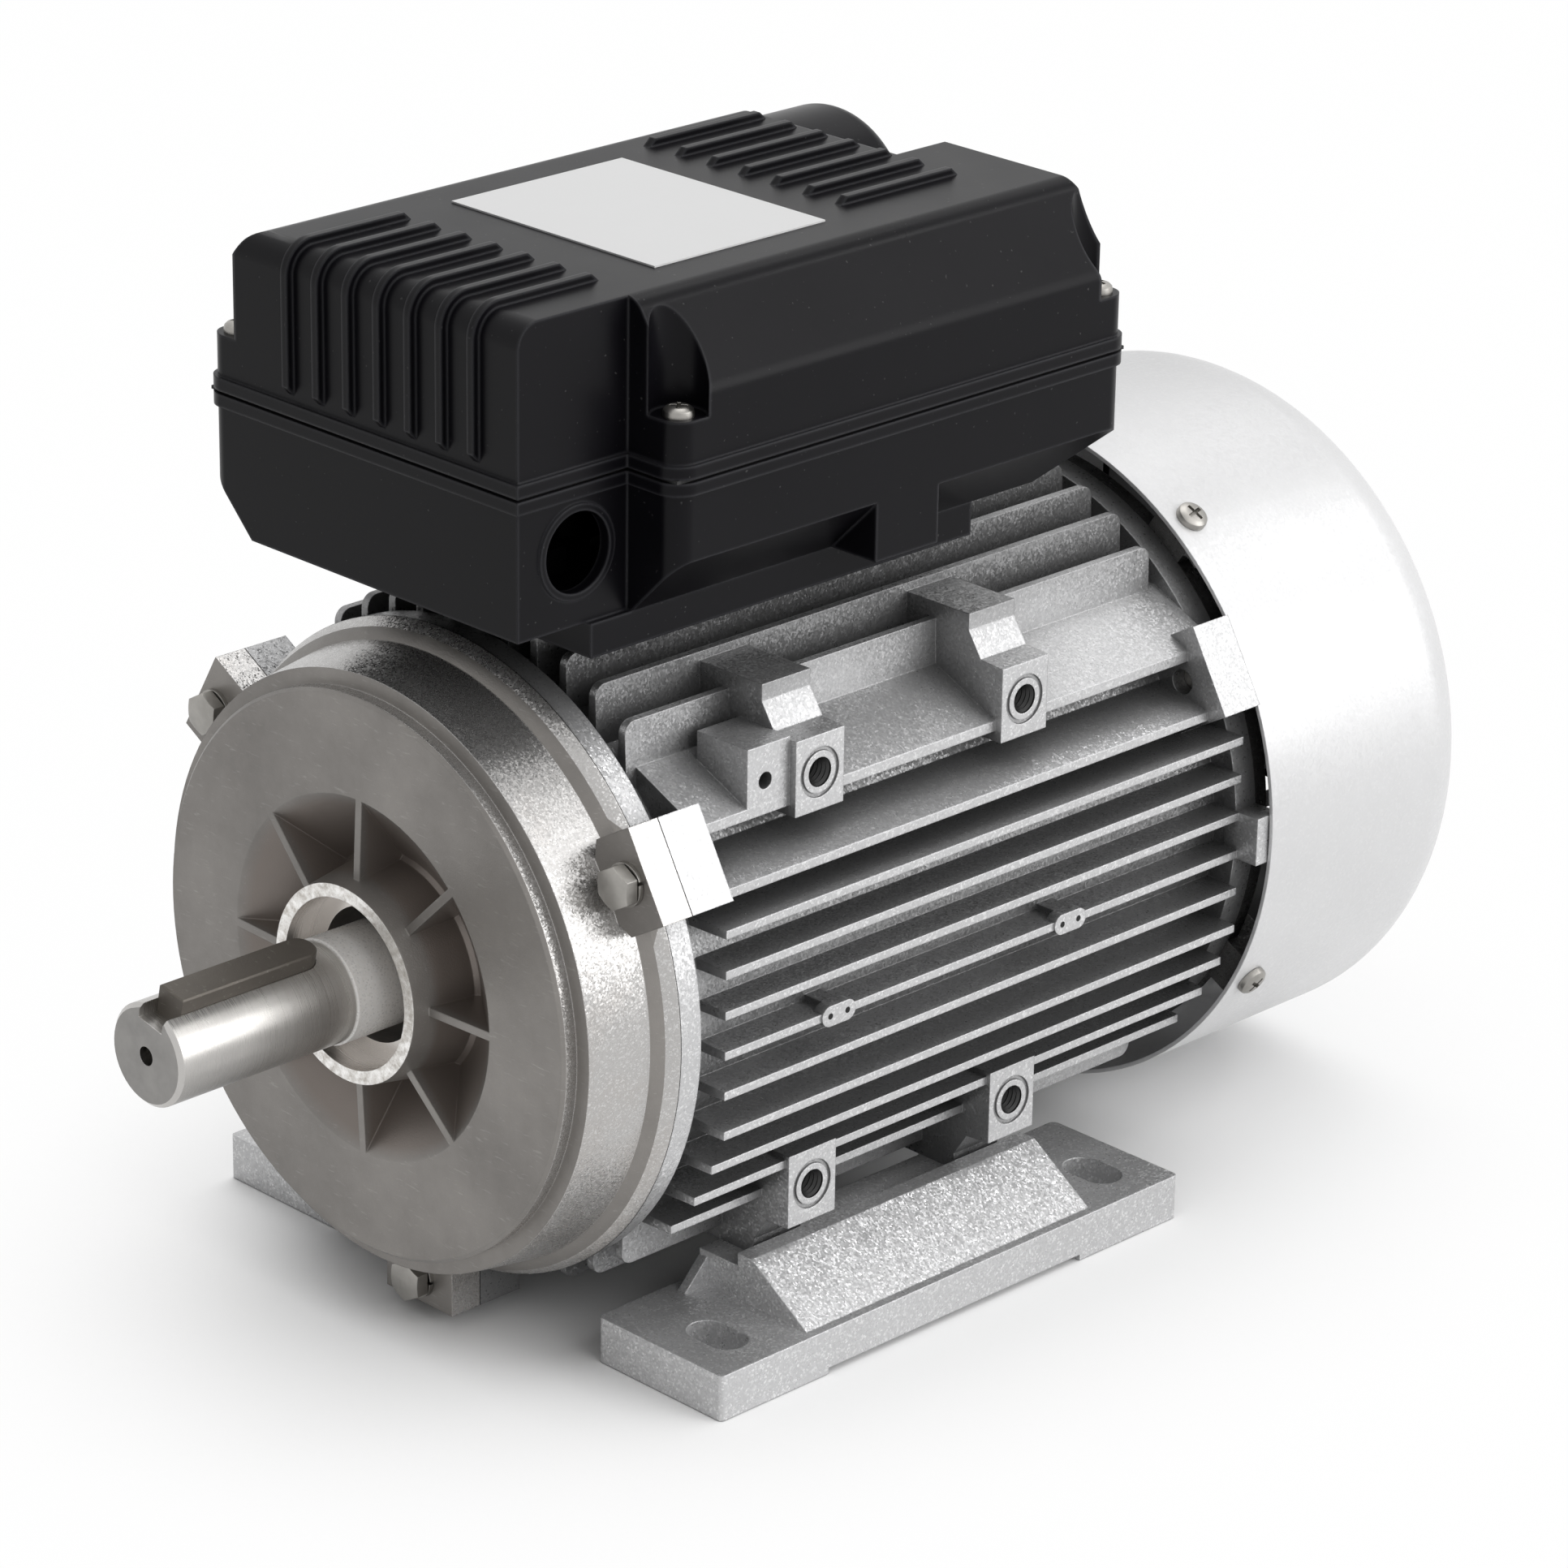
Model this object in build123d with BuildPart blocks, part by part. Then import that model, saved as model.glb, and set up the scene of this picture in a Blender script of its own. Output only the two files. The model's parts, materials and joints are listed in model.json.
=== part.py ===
from build123d import *
import os
from math import cos, radians, sin, sqrt

os.makedirs("parts", exist_ok=True)

# Single-phase induction motor with capacitors, foot mounted, shaft height 90 mm.
# +Z is up and the shaft lies along Y with its drive end towards -Y.
# The origin is the centre of the foot bolt pattern, on the floor.

# standard mounting sizes
shaft_height = 90.0
foot_span = 140.0
foot_pitch = 125.0
shoulder_offset = 56.0
shaft_dia = 24.0
shaft_extension = 50.0
key_width = 8.0
key_height = 7.0
key_length = 40.0
key_setback = 5.0
key_angle = 78.0

# clearances
press_gap = 0.05
fit_gap = 0.2
air_gap = 0.4
seat_gap = 0.1

# housing
housing_length = 190.0
shoulder_to_seam = 36.7
shell_radius = 70.0
bore_radius = 65.0
ring_radius = 77.0
front_ring_length = 6.4
rear_ring_length = 7.0
fin_tip_radius = 82.0
fin_half_width = 78.0
fin_pitch = 9.7
fin_thickness = 2.0
fin_root = 6.0
fin_front_gap = 12.8
fin_rear_gap = 7.0
plate_pitch = 9.5
plate_front_gap = 9.8
plate_rear_gap = 10.0
plate_corner = 3.0
corner_fin_drop = 33.2
shelf_drop = 46.5

# mounting pads
pad_pitch = 66.0
pad_width = 15.0
pad_face = 70.0
pad_base = 70.0
pad_hole_drop = 50.5
pad_hole_dia = 7.0
pad_ring_dia = 12.0
pad_ring_width = 1.0
pad_ring_depth = 0.6
pad_hole_depth = 14.0
pad_root = 33.0
pad_shoulder = 59.0
pad_step = 63.0
pad_heel = 52.0
pad_height = 18.5
earth_pad_length = 13.0
earth_pad_drop = 2.0
earth_screw_dia = 4.0
tab_front = -34.0
tab_rear = 42.0
tab_length = 10.5
tab_height = 5.0
tab_boss_dia = 5.0
tab_depth = 6.0

# bolt ears
ear_angle = 30.0
ear_half_width = 11.3
ear_reach = 86.5
ear_circle = 80.0
ear_housing_length = 12.3
ear_shield_length = 8.7
shield_bolt_dia = 6.0
shield_bolt_head = 9.0
shield_head_height = 3.4
spring_washer = 1.4

# front end shield
shield_flange_radius = 77.5
shield_depth = 25.3
shield_face_radius = 67.0
hub_reach = 30.2
hub_radius = 26.0
hub_lip_radius = 23.5
seal_bore_radius = 20.3
seal_depth = 8.0
recess_radius = 43.0
recess_depth = 12.0
web_thickness = 4.5
rib_count = 8
rib_thickness = 2.0
spigot_length = 4.0
spigot_wall = 4.0

# bearings
front_bearing_outer = 52.0
front_bearing_bore = 25.0
front_bearing_width = 15.0
front_bearing_inset = 6.2
rear_bearing_outer = 47.0
rear_bearing_bore = 20.0
rear_bearing_width = 14.0
rear_bearing_offset = 4.0
bearing_ring = 3.2
seal_recess = 0.5

# shaft behind the extension
neck_dia = 25.0
body_dia = 30.0
fan_seat_dia = 18.0
centre_hole_dia = 4.5
fan_seat_length = 42.0

# stator and rotor
core_length = 100.0
core_offset = 0.0
core_bore_radius = 38.0
slot_count = 24
slot_depth = 14.0
slot_width = 7.0
turn_length = 27.0
turn_outer = 60.0
turn_split = 46.0
rotor_bar_count = 20
rotor_bar_width = 3.2
rotor_bar_depth = 9.0
cage_ring_length = 12.0
cage_ring_bore = 22.0

# rear end shield, fan and cover
rear_flange_length = 4.0
rear_web_thickness = 4.0
rear_hub_radius = 29.0
cover_radius = 85.5
cover_sheet = 1.0
cover_front_gap = 3.5
cover_length = 77.5
cover_round = 17.0
cover_lug_length = 12.0
cover_lug_gap = 0.5
cover_lug_width = 12.0
cover_screw_dia = 4.0
cover_screw_head = 8.0
cover_head_height = 2.2
grille_rings = 5
grille_ribs = 4
grille_rib_width = 5.0
grille_pitch = 9.0
grille_slot = 5.0
grille_inner = 20.0
fan_radius = 74.0
fan_blades = 8
fan_hub_radius = 15.0
fan_width = 24.0
fan_setback = 10.0
blade_thickness = 2.0
clip_thickness = 1.2

# feet
foot_inner = 44.7
foot_outer = 85.4
foot_length = 152.0
foot_thickness = 11.3
foot_slot_width = 10.0
foot_slot_length = 16.0
foot_relief = 1.5
foot_rib_length = 94.0
foot_rib_outer = 83.0
foot_rib_top = 65.0
foot_lip_height = 3.2
foot_lip_width = 4.5
foot_web_inner = 48.0
foot_bolt_dia = 8.0
foot_bolt_x = 53.5

# terminal box
box_half_width = 59.0
box_front = -99.0
box_rear = 75.5
notch_depth = 15.5
notch_rear = -67.0
box_bottom = 180.0
box_parting = 212.8
box_wall = 2.5
box_chamfer = 14.0
box_corner = 5.0
lip_proud = 1.0
lip_height = 3.4
gasket_thickness = 0.8
saddle_half_width = 45.0
saddle_front = -79.0
saddle_rear = 40.0
saddle_height = 8.0
leg_front = -5.5
leg_rear = 14.3
entry_y = -82.0
entry_z = 197.0
entry_dia = 18.6
entry_ring_dia = 22.0
entry_ring_proud = 0.6
platform_half_width = 28.0
platform_front = -58.0
platform_rear = 34.0
base_gasket_thickness = 1.5
lead_hole_dia = 14.0
lead_hole_y = -46.0
lead_sleeve_wall = 1.4

# lid
lid_top = 251.5
lid_slope_start = 232.0
lid_slope_in = 13.0
lid_edge_round = 6.0
screw_ledge = 226.0
scoop_radius = 6.5
lid_screw_dia = 4.0
lid_screw_head = 7.0
lid_head_height = 2.4
lid_screw_inset = 5.0
hump_radius = 25.5
hump_x = -33.5
hump_front = 53.0
hump_end_round = 5.0
lobe_edge = 6.0
lobe_drop = 6.5
top_rib_width = 2.0
top_rib_proud = 1.8
front_rib_pitch = 10.15
front_rib_end = -64.5
front_rib_bottom = 218.0
rear_rib_pitch = 10.4
rear_rib_shift = -5.5
rear_rib_start = 14.0
rear_rib_end = 51.7
top_rib_count = 7
label_width = 66.0
label_length = 52.2
label_front = -49.4
label_thickness = 0.4

# inside the terminal box
board_width = 44.0
board_length = 30.0
board_height = 6.0
board_y = -80.0
stud_dia = 4.0
stud_pitch_x = 14.0
stud_pitch_y = 14.0
stud_height = 9.0
nut_size = 7.0
nut_height = 3.0
link_thickness = 0.8
capacitor_gap = 1.0
start_can_radius = 20.5
start_can_length = 88.0
run_can_radius = 19.0
run_can_length = 80.0
run_can_x = 28.0
can_rear = 60.0
cradle_thickness = 4.0
cradle_pitch = 52.0
base_screw_dia = 5.0
base_screw_head = 9.0
base_screw_x = 20.0
base_screw_inset = 8.0

# centrifugal start switch
hub_disc_radius = 24.0
hub_disc_length = 3.0
weight_width = 20.0
weight_length = 15.0
weight_depth = 6.0
weight_inner = 20.0
weight_pin_dia = 2.6
collar_wall = 2.6
collar_length = 22.0
collar_flange_radius = 24.0
collar_flange = 2.5
switch_plate_inner = 27.5
switch_plate_outer = 52.0
switch_plate_thickness = 1.6
arm_thickness = 1.0
arm_width = 10.0
arm_pin_dia = 2.0
arm_pivot_x = 40.0

# stations along the shaft
shoulder_y = -foot_pitch / 2 - shoulder_offset
shaft_front = shoulder_y - shaft_extension
front_seam = shoulder_y + shoulder_to_seam
rear_seam = front_seam + housing_length
core_centre = (front_seam + rear_seam) / 2 + core_offset
core_front = core_centre - core_length / 2
core_rear = core_centre + core_length / 2
front_bearing_rear = front_seam + front_bearing_inset
front_bearing_front = front_bearing_rear - front_bearing_width
rear_bearing_front = rear_seam + rear_bearing_offset
rear_bearing_rear = rear_bearing_front + rear_bearing_width
face_y = front_seam - shield_depth
hub_front = front_seam - hub_reach
cover_front = rear_seam - cover_front_gap
cover_rear = cover_front + cover_length
fan_front = rear_bearing_rear + fan_setback
shaft_rear = rear_bearing_rear + fan_seat_length
shaft_axis = Axis((0, 0, shaft_height), (0, 1, 0))
lengthwise = Plane(origin=(0, 0, shaft_height), x_dir=(0, 1, 0), z_dir=(1, 0, 0))


def across(y):
    """Plane square to the shaft: local x is X, local y is height above the shaft."""
    return Plane(origin=(0, y, shaft_height), x_dir=(1, 0, 0), z_dir=(0, -1, 0))


def radial(angle, distance):
    """Plane facing outwards from the shaft: local x is Y, local y goes round."""
    turn = radians(angle)
    out = Vector(cos(turn), 0, sin(turn))
    start = Vector(0, 0, shaft_height) + out * distance
    return Plane(origin=start, x_dir=(0, 1, 0), z_dir=out)


def turned(*points, mode=Mode.ADD):
    """Revolve a closed outline of (y, radius) points about the shaft."""
    with BuildSketch(lengthwise) as outline:
        Polygon(*points, align=None)
    revolve(outline.sketch, axis=shaft_axis, mode=mode)


def finish(piece, name):
    """Label a finished piece and write its STEP file."""
    piece.part.label = name
    export_step(piece.part, "parts/" + name + ".step")


# the housing casting
fin_front = front_seam + fin_front_gap
fin_rear = rear_seam - fin_rear_gap
plate_front = front_seam + plate_front_gap
plate_rear = rear_seam - plate_rear_gap
platform_top = box_bottom - saddle_height - base_gasket_thickness
pad_stations = (-pad_pitch / 2, pad_pitch / 2)
pad_ledge = pad_base - 10
rear_ear_circle = ear_circle - 3
rear_ear_front = cover_front - 1 - ear_housing_length
cover_inner = cover_radius - cover_sheet


def reach(offset):
    """Half length of a fin whose tips lie on the tip circle, at an offset from the axis."""
    return sqrt(fin_tip_radius**2 - offset**2)


with BuildPart() as stator_housing:
    # upright plates, one long tapered blade from the bottom tip to the top tip
    with BuildSketch(across(plate_front)):
        for k in range(-5, 6):
            x = k * plate_pitch
            tip = reach(abs(x) + fin_thickness / 2)
            Polygon(
                (x - fin_thickness / 2, -tip),
                (x + fin_thickness / 2, -tip),
                (x + fin_root / 2, 0),
                (x + fin_thickness / 2, tip),
                (x - fin_thickness / 2, tip),
                (x - fin_root / 2, 0),
                align=None,
            )
    extrude(amount=plate_front - plate_rear)
    tips = stator_housing.edges().filter_by(Axis.X)
    fillet(tips, radius=plate_corner)
    # level fins on both sides, and the stepped shelf above them
    with BuildSketch(across(fin_front)):
        for k in range(-6, 3):
            z = (k + 0.5) * fin_pitch
            tip = min(fin_half_width, reach(abs(z) + fin_thickness / 2))
            Polygon(
                (-tip, z - fin_thickness / 2),
                (0, z - fin_root / 2),
                (tip, z - fin_thickness / 2),
                (tip, z + fin_thickness / 2),
                (0, z + fin_root / 2),
                (-tip, z + fin_thickness / 2),
                align=None,
            )
        corner_tip = reach(corner_fin_drop)
        shelf_tip = reach(shelf_drop) + 0.5
        with Locations((0, 0)):
            Polygon(
                (40, corner_fin_drop - 4.2),
                (corner_tip, corner_fin_drop - 2.2),
                (corner_tip, corner_fin_drop),
                (55, corner_fin_drop + 4.8),
                (40, corner_fin_drop + 4.8),
                align=None,
            )
            Polygon(
                (40, shelf_drop - 2.5),
                (shelf_tip, shelf_drop - 2.5),
                (shelf_tip, shelf_drop),
                (48, shelf_drop + 9),
                (40, shelf_drop + 9),
                align=None,
            )
        mirror(about=Plane.YZ)
    extrude(amount=fin_front - fin_rear)
    # shell, end rings
    with BuildSketch(across(front_seam)):
        Circle(shell_radius)
    extrude(amount=-housing_length)
    with BuildSketch(across(front_seam)):
        Circle(ring_radius)
    extrude(amount=-front_ring_length)
    with BuildSketch(across(rear_seam)):
        Circle(ring_radius)
    extrude(amount=rear_ring_length)
    # seat for the terminal box
    with BuildSketch(Plane.XY.offset(shaft_height + shell_radius - 8)):
        with Locations((0, (platform_front + platform_rear) / 2)):
            Rectangle(2 * platform_half_width, platform_rear - platform_front)
    extrude(amount=platform_top - shaft_height - shell_radius + 8)
    # eight mounting pads
    for station in pad_stations:
        with BuildSketch(across(station - pad_width / 2)):
            Polygon(
                (pad_root, pad_base - 15),
                (pad_root, pad_base),
                (pad_shoulder, pad_base),
                (pad_shoulder, pad_base - 4),
                (pad_step, pad_ledge),
                (pad_face, pad_ledge - 0.5),
                (pad_face, pad_ledge - pad_height),
                (pad_heel, pad_ledge - pad_height),
                align=None,
            )
            mirror(about=Plane.YZ)
            mirror(about=Plane.XZ)
        extrude(amount=-pad_width)
    # earth pad beside the front pad
    earth_rear = -pad_pitch / 2 - pad_width / 2
    with BuildSketch(across(earth_rear - earth_pad_length)):
        Polygon(
            (pad_heel, pad_ledge - pad_height + 2.5),
            (pad_face - earth_pad_drop, pad_ledge - pad_height + 2.5),
            (pad_face - earth_pad_drop, pad_ledge + 0.5),
            (pad_heel, pad_ledge + 0.5),
            align=None,
        )
    extrude(amount=-earth_pad_length)
    # two oval tabs at the tip of the fin beside the shaft line, each with a boss behind it
    for side in (1, -1):
        for station in (tab_front, tab_rear):
            tab_spot = (side * (fin_half_width + 0.5), station, shaft_height - fin_pitch / 2)
            with BuildSketch(Plane(origin=tab_spot, x_dir=(0, side, 0), z_dir=(side, 0, 0))):
                SlotOverall(tab_length, tab_height)
            extrude(amount=-tab_depth / 2)
            with BuildSketch(Plane(origin=tab_spot, x_dir=(0, side, 0), z_dir=(side, 0, 0))):
                Rectangle(tab_boss_dia, tab_height)
            extrude(amount=-2 * tab_depth)
    # bolt ears
    with BuildSketch(across(front_seam)):
        with PolarLocations(0, 3, start_angle=ear_angle):
            Polygon(
                (shell_radius - 2, -ear_half_width),
                (ear_reach, -ear_half_width),
                (ear_reach, ear_half_width),
                (shell_radius - 2, ear_half_width),
                align=None,
            )
    extrude(amount=-ear_housing_length)
    with BuildSketch(across(rear_ear_front)):
        with PolarLocations(0, 3, start_angle=ear_angle):
            Polygon(
                (shell_radius - 2, -ear_half_width),
                (ear_reach, -ear_half_width),
                (ear_reach, ear_half_width),
                (shell_radius - 2, ear_half_width),
                align=None,
            )
    extrude(amount=-ear_housing_length)
    with BuildSketch(across(cover_front - 2)):
        with PolarLocations(0, 3, start_angle=ear_angle):
            Polygon(
                (shell_radius, -ear_half_width + 2),
                (cover_inner - 2.5, -ear_half_width + 2),
                (cover_inner - 2.5, ear_half_width - 2),
                (shell_radius, ear_half_width - 2),
                align=None,
            )
    extrude(amount=cover_front - 2 - rear_seam)
    # lugs beside the rim of the fan cover
    with BuildSketch(across(cover_front - 4)):
        with PolarLocations(0, 2):
            with Locations((ring_radius + 2, 0)):
                Rectangle(2 * (cover_inner - ring_radius - 2) - 0.6, cover_lug_width)
    extrude(amount=cover_front - 4 - rear_seam)
    # plate tips cut level under the terminal box, and flush with its seat
    with BuildSketch(Plane.XY.offset(box_bottom - saddle_height - fit_gap)):
        with Locations((0, (saddle_front + saddle_rear) / 2)):
            Rectangle(2 * saddle_half_width, saddle_rear - saddle_front)
    extrude(amount=10, mode=Mode.SUBTRACT)
    with BuildSketch(Plane.XY.offset(platform_top)):
        with Locations((0, (platform_front + platform_rear) / 2)):
            Rectangle(2 * platform_half_width, platform_rear - platform_front)
    extrude(amount=10, mode=Mode.SUBTRACT)
    # bore
    with BuildSketch(across(front_seam)):
        Circle(bore_radius)
    extrude(amount=-housing_length, mode=Mode.SUBTRACT)
    # pad holes with their ring grooves
    for side in (1, -1):
        pad_plane = Plane(origin=(side * pad_face, 0, shaft_height), x_dir=(0, side, 0), z_dir=(side, 0, 0))
        with BuildSketch(pad_plane):
            with GridLocations(pad_pitch, 2 * pad_hole_drop, 2, 2):
                Circle(pad_hole_dia / 2)
        extrude(amount=-pad_hole_depth, mode=Mode.SUBTRACT)
        with BuildSketch(pad_plane):
            with GridLocations(pad_pitch, 2 * pad_hole_drop, 2, 2):
                Circle(pad_ring_dia / 2)
                Circle(pad_ring_dia / 2 - pad_ring_width, mode=Mode.SUBTRACT)
        extrude(amount=-pad_ring_depth, mode=Mode.SUBTRACT)
    # foot screw holes in the lower pads
    with BuildSketch(Plane.XY.offset(shaft_height - pad_base)):
        with GridLocations(2 * foot_bolt_x, pad_pitch, 2, 2):
            Circle(foot_bolt_dia / 2 + press_gap)
    extrude(amount=14, mode=Mode.SUBTRACT)
    # earth screw hole
    earth_spot = (pad_face - earth_pad_drop, earth_rear - 7.5, shaft_height + pad_ledge - 8)
    with BuildSketch(Plane(origin=earth_spot, x_dir=(0, 1, 0), z_dir=(1, 0, 0))):
        Circle(earth_screw_dia / 2)
    extrude(amount=-8, mode=Mode.SUBTRACT)
    # lead hole and terminal box screw holes
    with BuildSketch(Plane.XY.offset(platform_top)):
        with Locations((0, lead_hole_y)):
            Circle(lead_hole_dia / 2)
    extrude(amount=-40, mode=Mode.SUBTRACT)
    with BuildSketch(Plane.XY.offset(platform_top)):
        for y in (platform_front + base_screw_inset, platform_rear - base_screw_inset):
            with Locations((base_screw_x, y), (-base_screw_x, y)):
                Circle(base_screw_dia / 2 + press_gap)
    extrude(amount=-12, mode=Mode.SUBTRACT)
    # bolt holes through the ears
    with BuildSketch(across(front_seam)):
        with PolarLocations(ear_circle, 3, start_angle=ear_angle):
            Circle(shield_bolt_dia / 2 + press_gap)
    extrude(amount=-ear_housing_length, mode=Mode.SUBTRACT)
    with BuildSketch(across(rear_seam)):
        with PolarLocations(rear_ear_circle, 3, start_angle=ear_angle):
            Circle(shield_bolt_dia / 2 + press_gap)
    extrude(amount=rear_seam - rear_ear_front, mode=Mode.SUBTRACT)
finish(stator_housing, "stator_housing")

# the front end shield and what holds it
seat_front = front_bearing_rear - front_bearing_width - seat_gap
front_seat_radius = front_bearing_outer / 2 + press_gap
recess_y = face_y + recess_depth
band_front = face_y + 4.0
flange_front = front_seam - 3.2
with BuildPart() as front_end_shield:
    turned(
        (front_seam, shield_flange_radius),
        (flange_front, shield_flange_radius - 1.8),
        (flange_front - 2.1, shield_flange_radius - 4.4),
        (band_front, shield_face_radius + 3.8),
        (band_front, shield_face_radius),
        (face_y + 0.8, shield_face_radius),
        (face_y, shield_face_radius - 0.8),
        (face_y, recess_radius),
        (recess_y, hub_radius + 1),
        (recess_y - 1, hub_radius),
        (hub_front, hub_lip_radius),
        (hub_front, seal_bore_radius),
        (hub_front + seal_depth, seal_bore_radius),
        (hub_front + seal_depth, neck_dia / 2 + 3.5),
        (seat_front, neck_dia / 2 + 3.5),
        (seat_front, front_seat_radius),
        (front_bearing_rear + 1, front_seat_radius),
        (front_bearing_rear + 1, front_seat_radius + web_thickness),
        (recess_y + web_thickness, front_seat_radius + web_thickness),
        (face_y + web_thickness, recess_radius + web_thickness),
        (face_y + web_thickness, shield_face_radius - web_thickness),
        (flange_front, bore_radius - spigot_wall),
        (front_seam + spigot_length, bore_radius - spigot_wall),
        (front_seam + spigot_length, bore_radius - press_gap),
        (front_seam, bore_radius - press_gap),
    )
    # thin ribs between the hub and the face
    for k in range(rib_count):
        with BuildSketch(radial(k * 360 / rib_count, 0)):
            Polygon(
                (face_y + 1, recess_radius + 1),
                (face_y, recess_radius),
                (hub_front + 4, hub_lip_radius + 0.5),
                (hub_front + 4, seal_bore_radius + 1),
                (recess_y + 2, hub_radius - 1),
                (recess_y + 2, hub_radius + 1),
                align=None,
            )
        extrude(amount=rib_thickness / 2, both=True)
    # ears
    with BuildSketch(across(front_seam - ear_shield_length)):
        with PolarLocations(0, 3, start_angle=ear_angle):
            Polygon(
                (shield_face_radius, 0),
                (shell_radius + 5, -ear_half_width),
                (ear_reach, -ear_half_width),
                (ear_reach, ear_half_width),
                (shell_radius + 5, ear_half_width),
                align=None,
            )
    extrude(amount=-ear_shield_length)
    with BuildSketch(across(front_seam - ear_shield_length)):
        with PolarLocations(ear_circle, 3, start_angle=ear_angle):
            Circle(shield_bolt_dia / 2 + fit_gap)
    extrude(amount=-ear_shield_length, mode=Mode.SUBTRACT)
finish(front_end_shield, "front_end_shield")

with BuildPart() as front_shield_bolts:
    head_y = front_seam - ear_shield_length - spring_washer
    with BuildSketch(across(head_y - shield_head_height)):
        with PolarLocations(ear_circle, 3, start_angle=ear_angle):
            RegularPolygon(shield_bolt_head / sqrt(3), 6)
    extrude(amount=-shield_head_height)
    with BuildSketch(across(head_y)):
        with PolarLocations(ear_circle, 3, start_angle=ear_angle):
            Circle(shield_bolt_dia / 2)
    extrude(amount=-(spring_washer + ear_shield_length + ear_housing_length - 1))
finish(front_shield_bolts, "front_shield_bolts")

with BuildPart() as front_shield_washers:
    with BuildSketch(across(head_y)):
        with PolarLocations(ear_circle, 3, start_angle=ear_angle):
            Circle(shield_bolt_dia / 2 + 2.2)
            Circle(shield_bolt_dia / 2 + press_gap, mode=Mode.SUBTRACT)
    extrude(amount=-spring_washer)
finish(front_shield_washers, "front_shield_washers")

# the bearings, each ring with its shields
with BuildPart() as bearing_outer_rings:
    turned(
        (front_bearing_front, front_bearing_outer / 2),
        (front_bearing_front, front_bearing_outer / 2 - bearing_ring),
        (front_bearing_front + seal_recess, front_bearing_outer / 2 - bearing_ring),
        (front_bearing_front + seal_recess, front_bearing_bore / 2 + bearing_ring + press_gap),
        (front_bearing_rear - seal_recess, front_bearing_bore / 2 + bearing_ring + press_gap),
        (front_bearing_rear - seal_recess, front_bearing_outer / 2 - bearing_ring),
        (front_bearing_rear, front_bearing_outer / 2 - bearing_ring),
        (front_bearing_rear, front_bearing_outer / 2),
    )
    turned(
        (rear_bearing_front, rear_bearing_outer / 2),
        (rear_bearing_front, rear_bearing_outer / 2 - bearing_ring),
        (rear_bearing_front + seal_recess, rear_bearing_outer / 2 - bearing_ring),
        (rear_bearing_front + seal_recess, rear_bearing_bore / 2 + bearing_ring + press_gap),
        (rear_bearing_rear - seal_recess, rear_bearing_bore / 2 + bearing_ring + press_gap),
        (rear_bearing_rear - seal_recess, rear_bearing_outer / 2 - bearing_ring),
        (rear_bearing_rear, rear_bearing_outer / 2 - bearing_ring),
        (rear_bearing_rear, rear_bearing_outer / 2),
    )
finish(bearing_outer_rings, "bearing_outer_rings")

with BuildPart() as bearing_inner_rings:
    turned(
        (front_bearing_front, front_bearing_bore / 2 + press_gap),
        (front_bearing_rear, front_bearing_bore / 2 + press_gap),
        (front_bearing_rear, front_bearing_bore / 2 + bearing_ring),
        (front_bearing_front, front_bearing_bore / 2 + bearing_ring),
    )
    turned(
        (rear_bearing_front, rear_bearing_bore / 2 + press_gap),
        (rear_bearing_rear, rear_bearing_bore / 2 + press_gap),
        (rear_bearing_rear, rear_bearing_bore / 2 + bearing_ring),
        (rear_bearing_front, rear_bearing_bore / 2 + bearing_ring),
    )
finish(bearing_inner_rings, "bearing_inner_rings")

# the shaft and its key
clip_y = fan_front + fan_width + seat_gap
with BuildPart() as shaft:
    turned(
        (shaft_front, 0),
        (shaft_front, shaft_dia / 2 - 1),
        (shaft_front + 1, shaft_dia / 2),
        (shoulder_y, shaft_dia / 2),
        (shoulder_y, neck_dia / 2 - 0.3),
        (shoulder_y + 0.3, neck_dia / 2),
        (front_bearing_rear + seat_gap, neck_dia / 2),
        (front_bearing_rear + seat_gap, body_dia / 2),
        (rear_bearing_front - seat_gap, body_dia / 2),
        (rear_bearing_front - seat_gap, rear_bearing_bore / 2),
        (rear_bearing_rear + 1, rear_bearing_bore / 2),
        (rear_bearing_rear + 1, fan_seat_dia / 2),
        (clip_y, fan_seat_dia / 2),
        (clip_y, fan_seat_dia / 2 - 0.8),
        (clip_y + clip_thickness + fit_gap, fan_seat_dia / 2 - 0.8),
        (clip_y + clip_thickness + fit_gap, fan_seat_dia / 2),
        (shaft_rear - 1, fan_seat_dia / 2),
        (shaft_rear, fan_seat_dia / 2 - 1),
        (shaft_rear, 0),
    )
    key_floor = shaft_dia / 2 - 4
    key_start = shaft_front + key_setback
    key_end = key_start + key_length
    with BuildSketch(radial(key_angle, key_floor)):
        with Locations(((shaft_front - key_width / 2 + key_end + fit_gap) / 2, 0)):
            SlotOverall(key_end + fit_gap - shaft_front + key_width / 2, key_width)
    extrude(amount=5, mode=Mode.SUBTRACT)
    with BuildSketch(radial(key_angle, key_floor)):
        with Locations((shaft_front, 0)):
            Rectangle(key_width, key_width)
    extrude(amount=5, mode=Mode.SUBTRACT)
    with BuildSketch(across(shaft_front)):
        Circle(centre_hole_dia / 2)
    extrude(amount=-8, mode=Mode.SUBTRACT)
finish(shaft, "shaft")

with BuildPart() as shaft_key:
    with BuildSketch(radial(key_angle, key_floor)):
        with Locations(((key_start + key_end) / 2, 0)):
            Rectangle(key_length, key_width - 2 * press_gap)
    extrude(amount=key_height)
    rounded = shaft_key.edges().filter_by(Axis(origin=(0, 0, 0), direction=radial(key_angle, 0).z_dir))
    fillet(rounded.sort_by(Axis.Y)[2:], radius=key_width / 2 - 0.1)
    chamfer(shaft_key.faces().sort_by(Axis.Z)[-1].edges(), length=0.4)
finish(shaft_key, "shaft_key")

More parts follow.
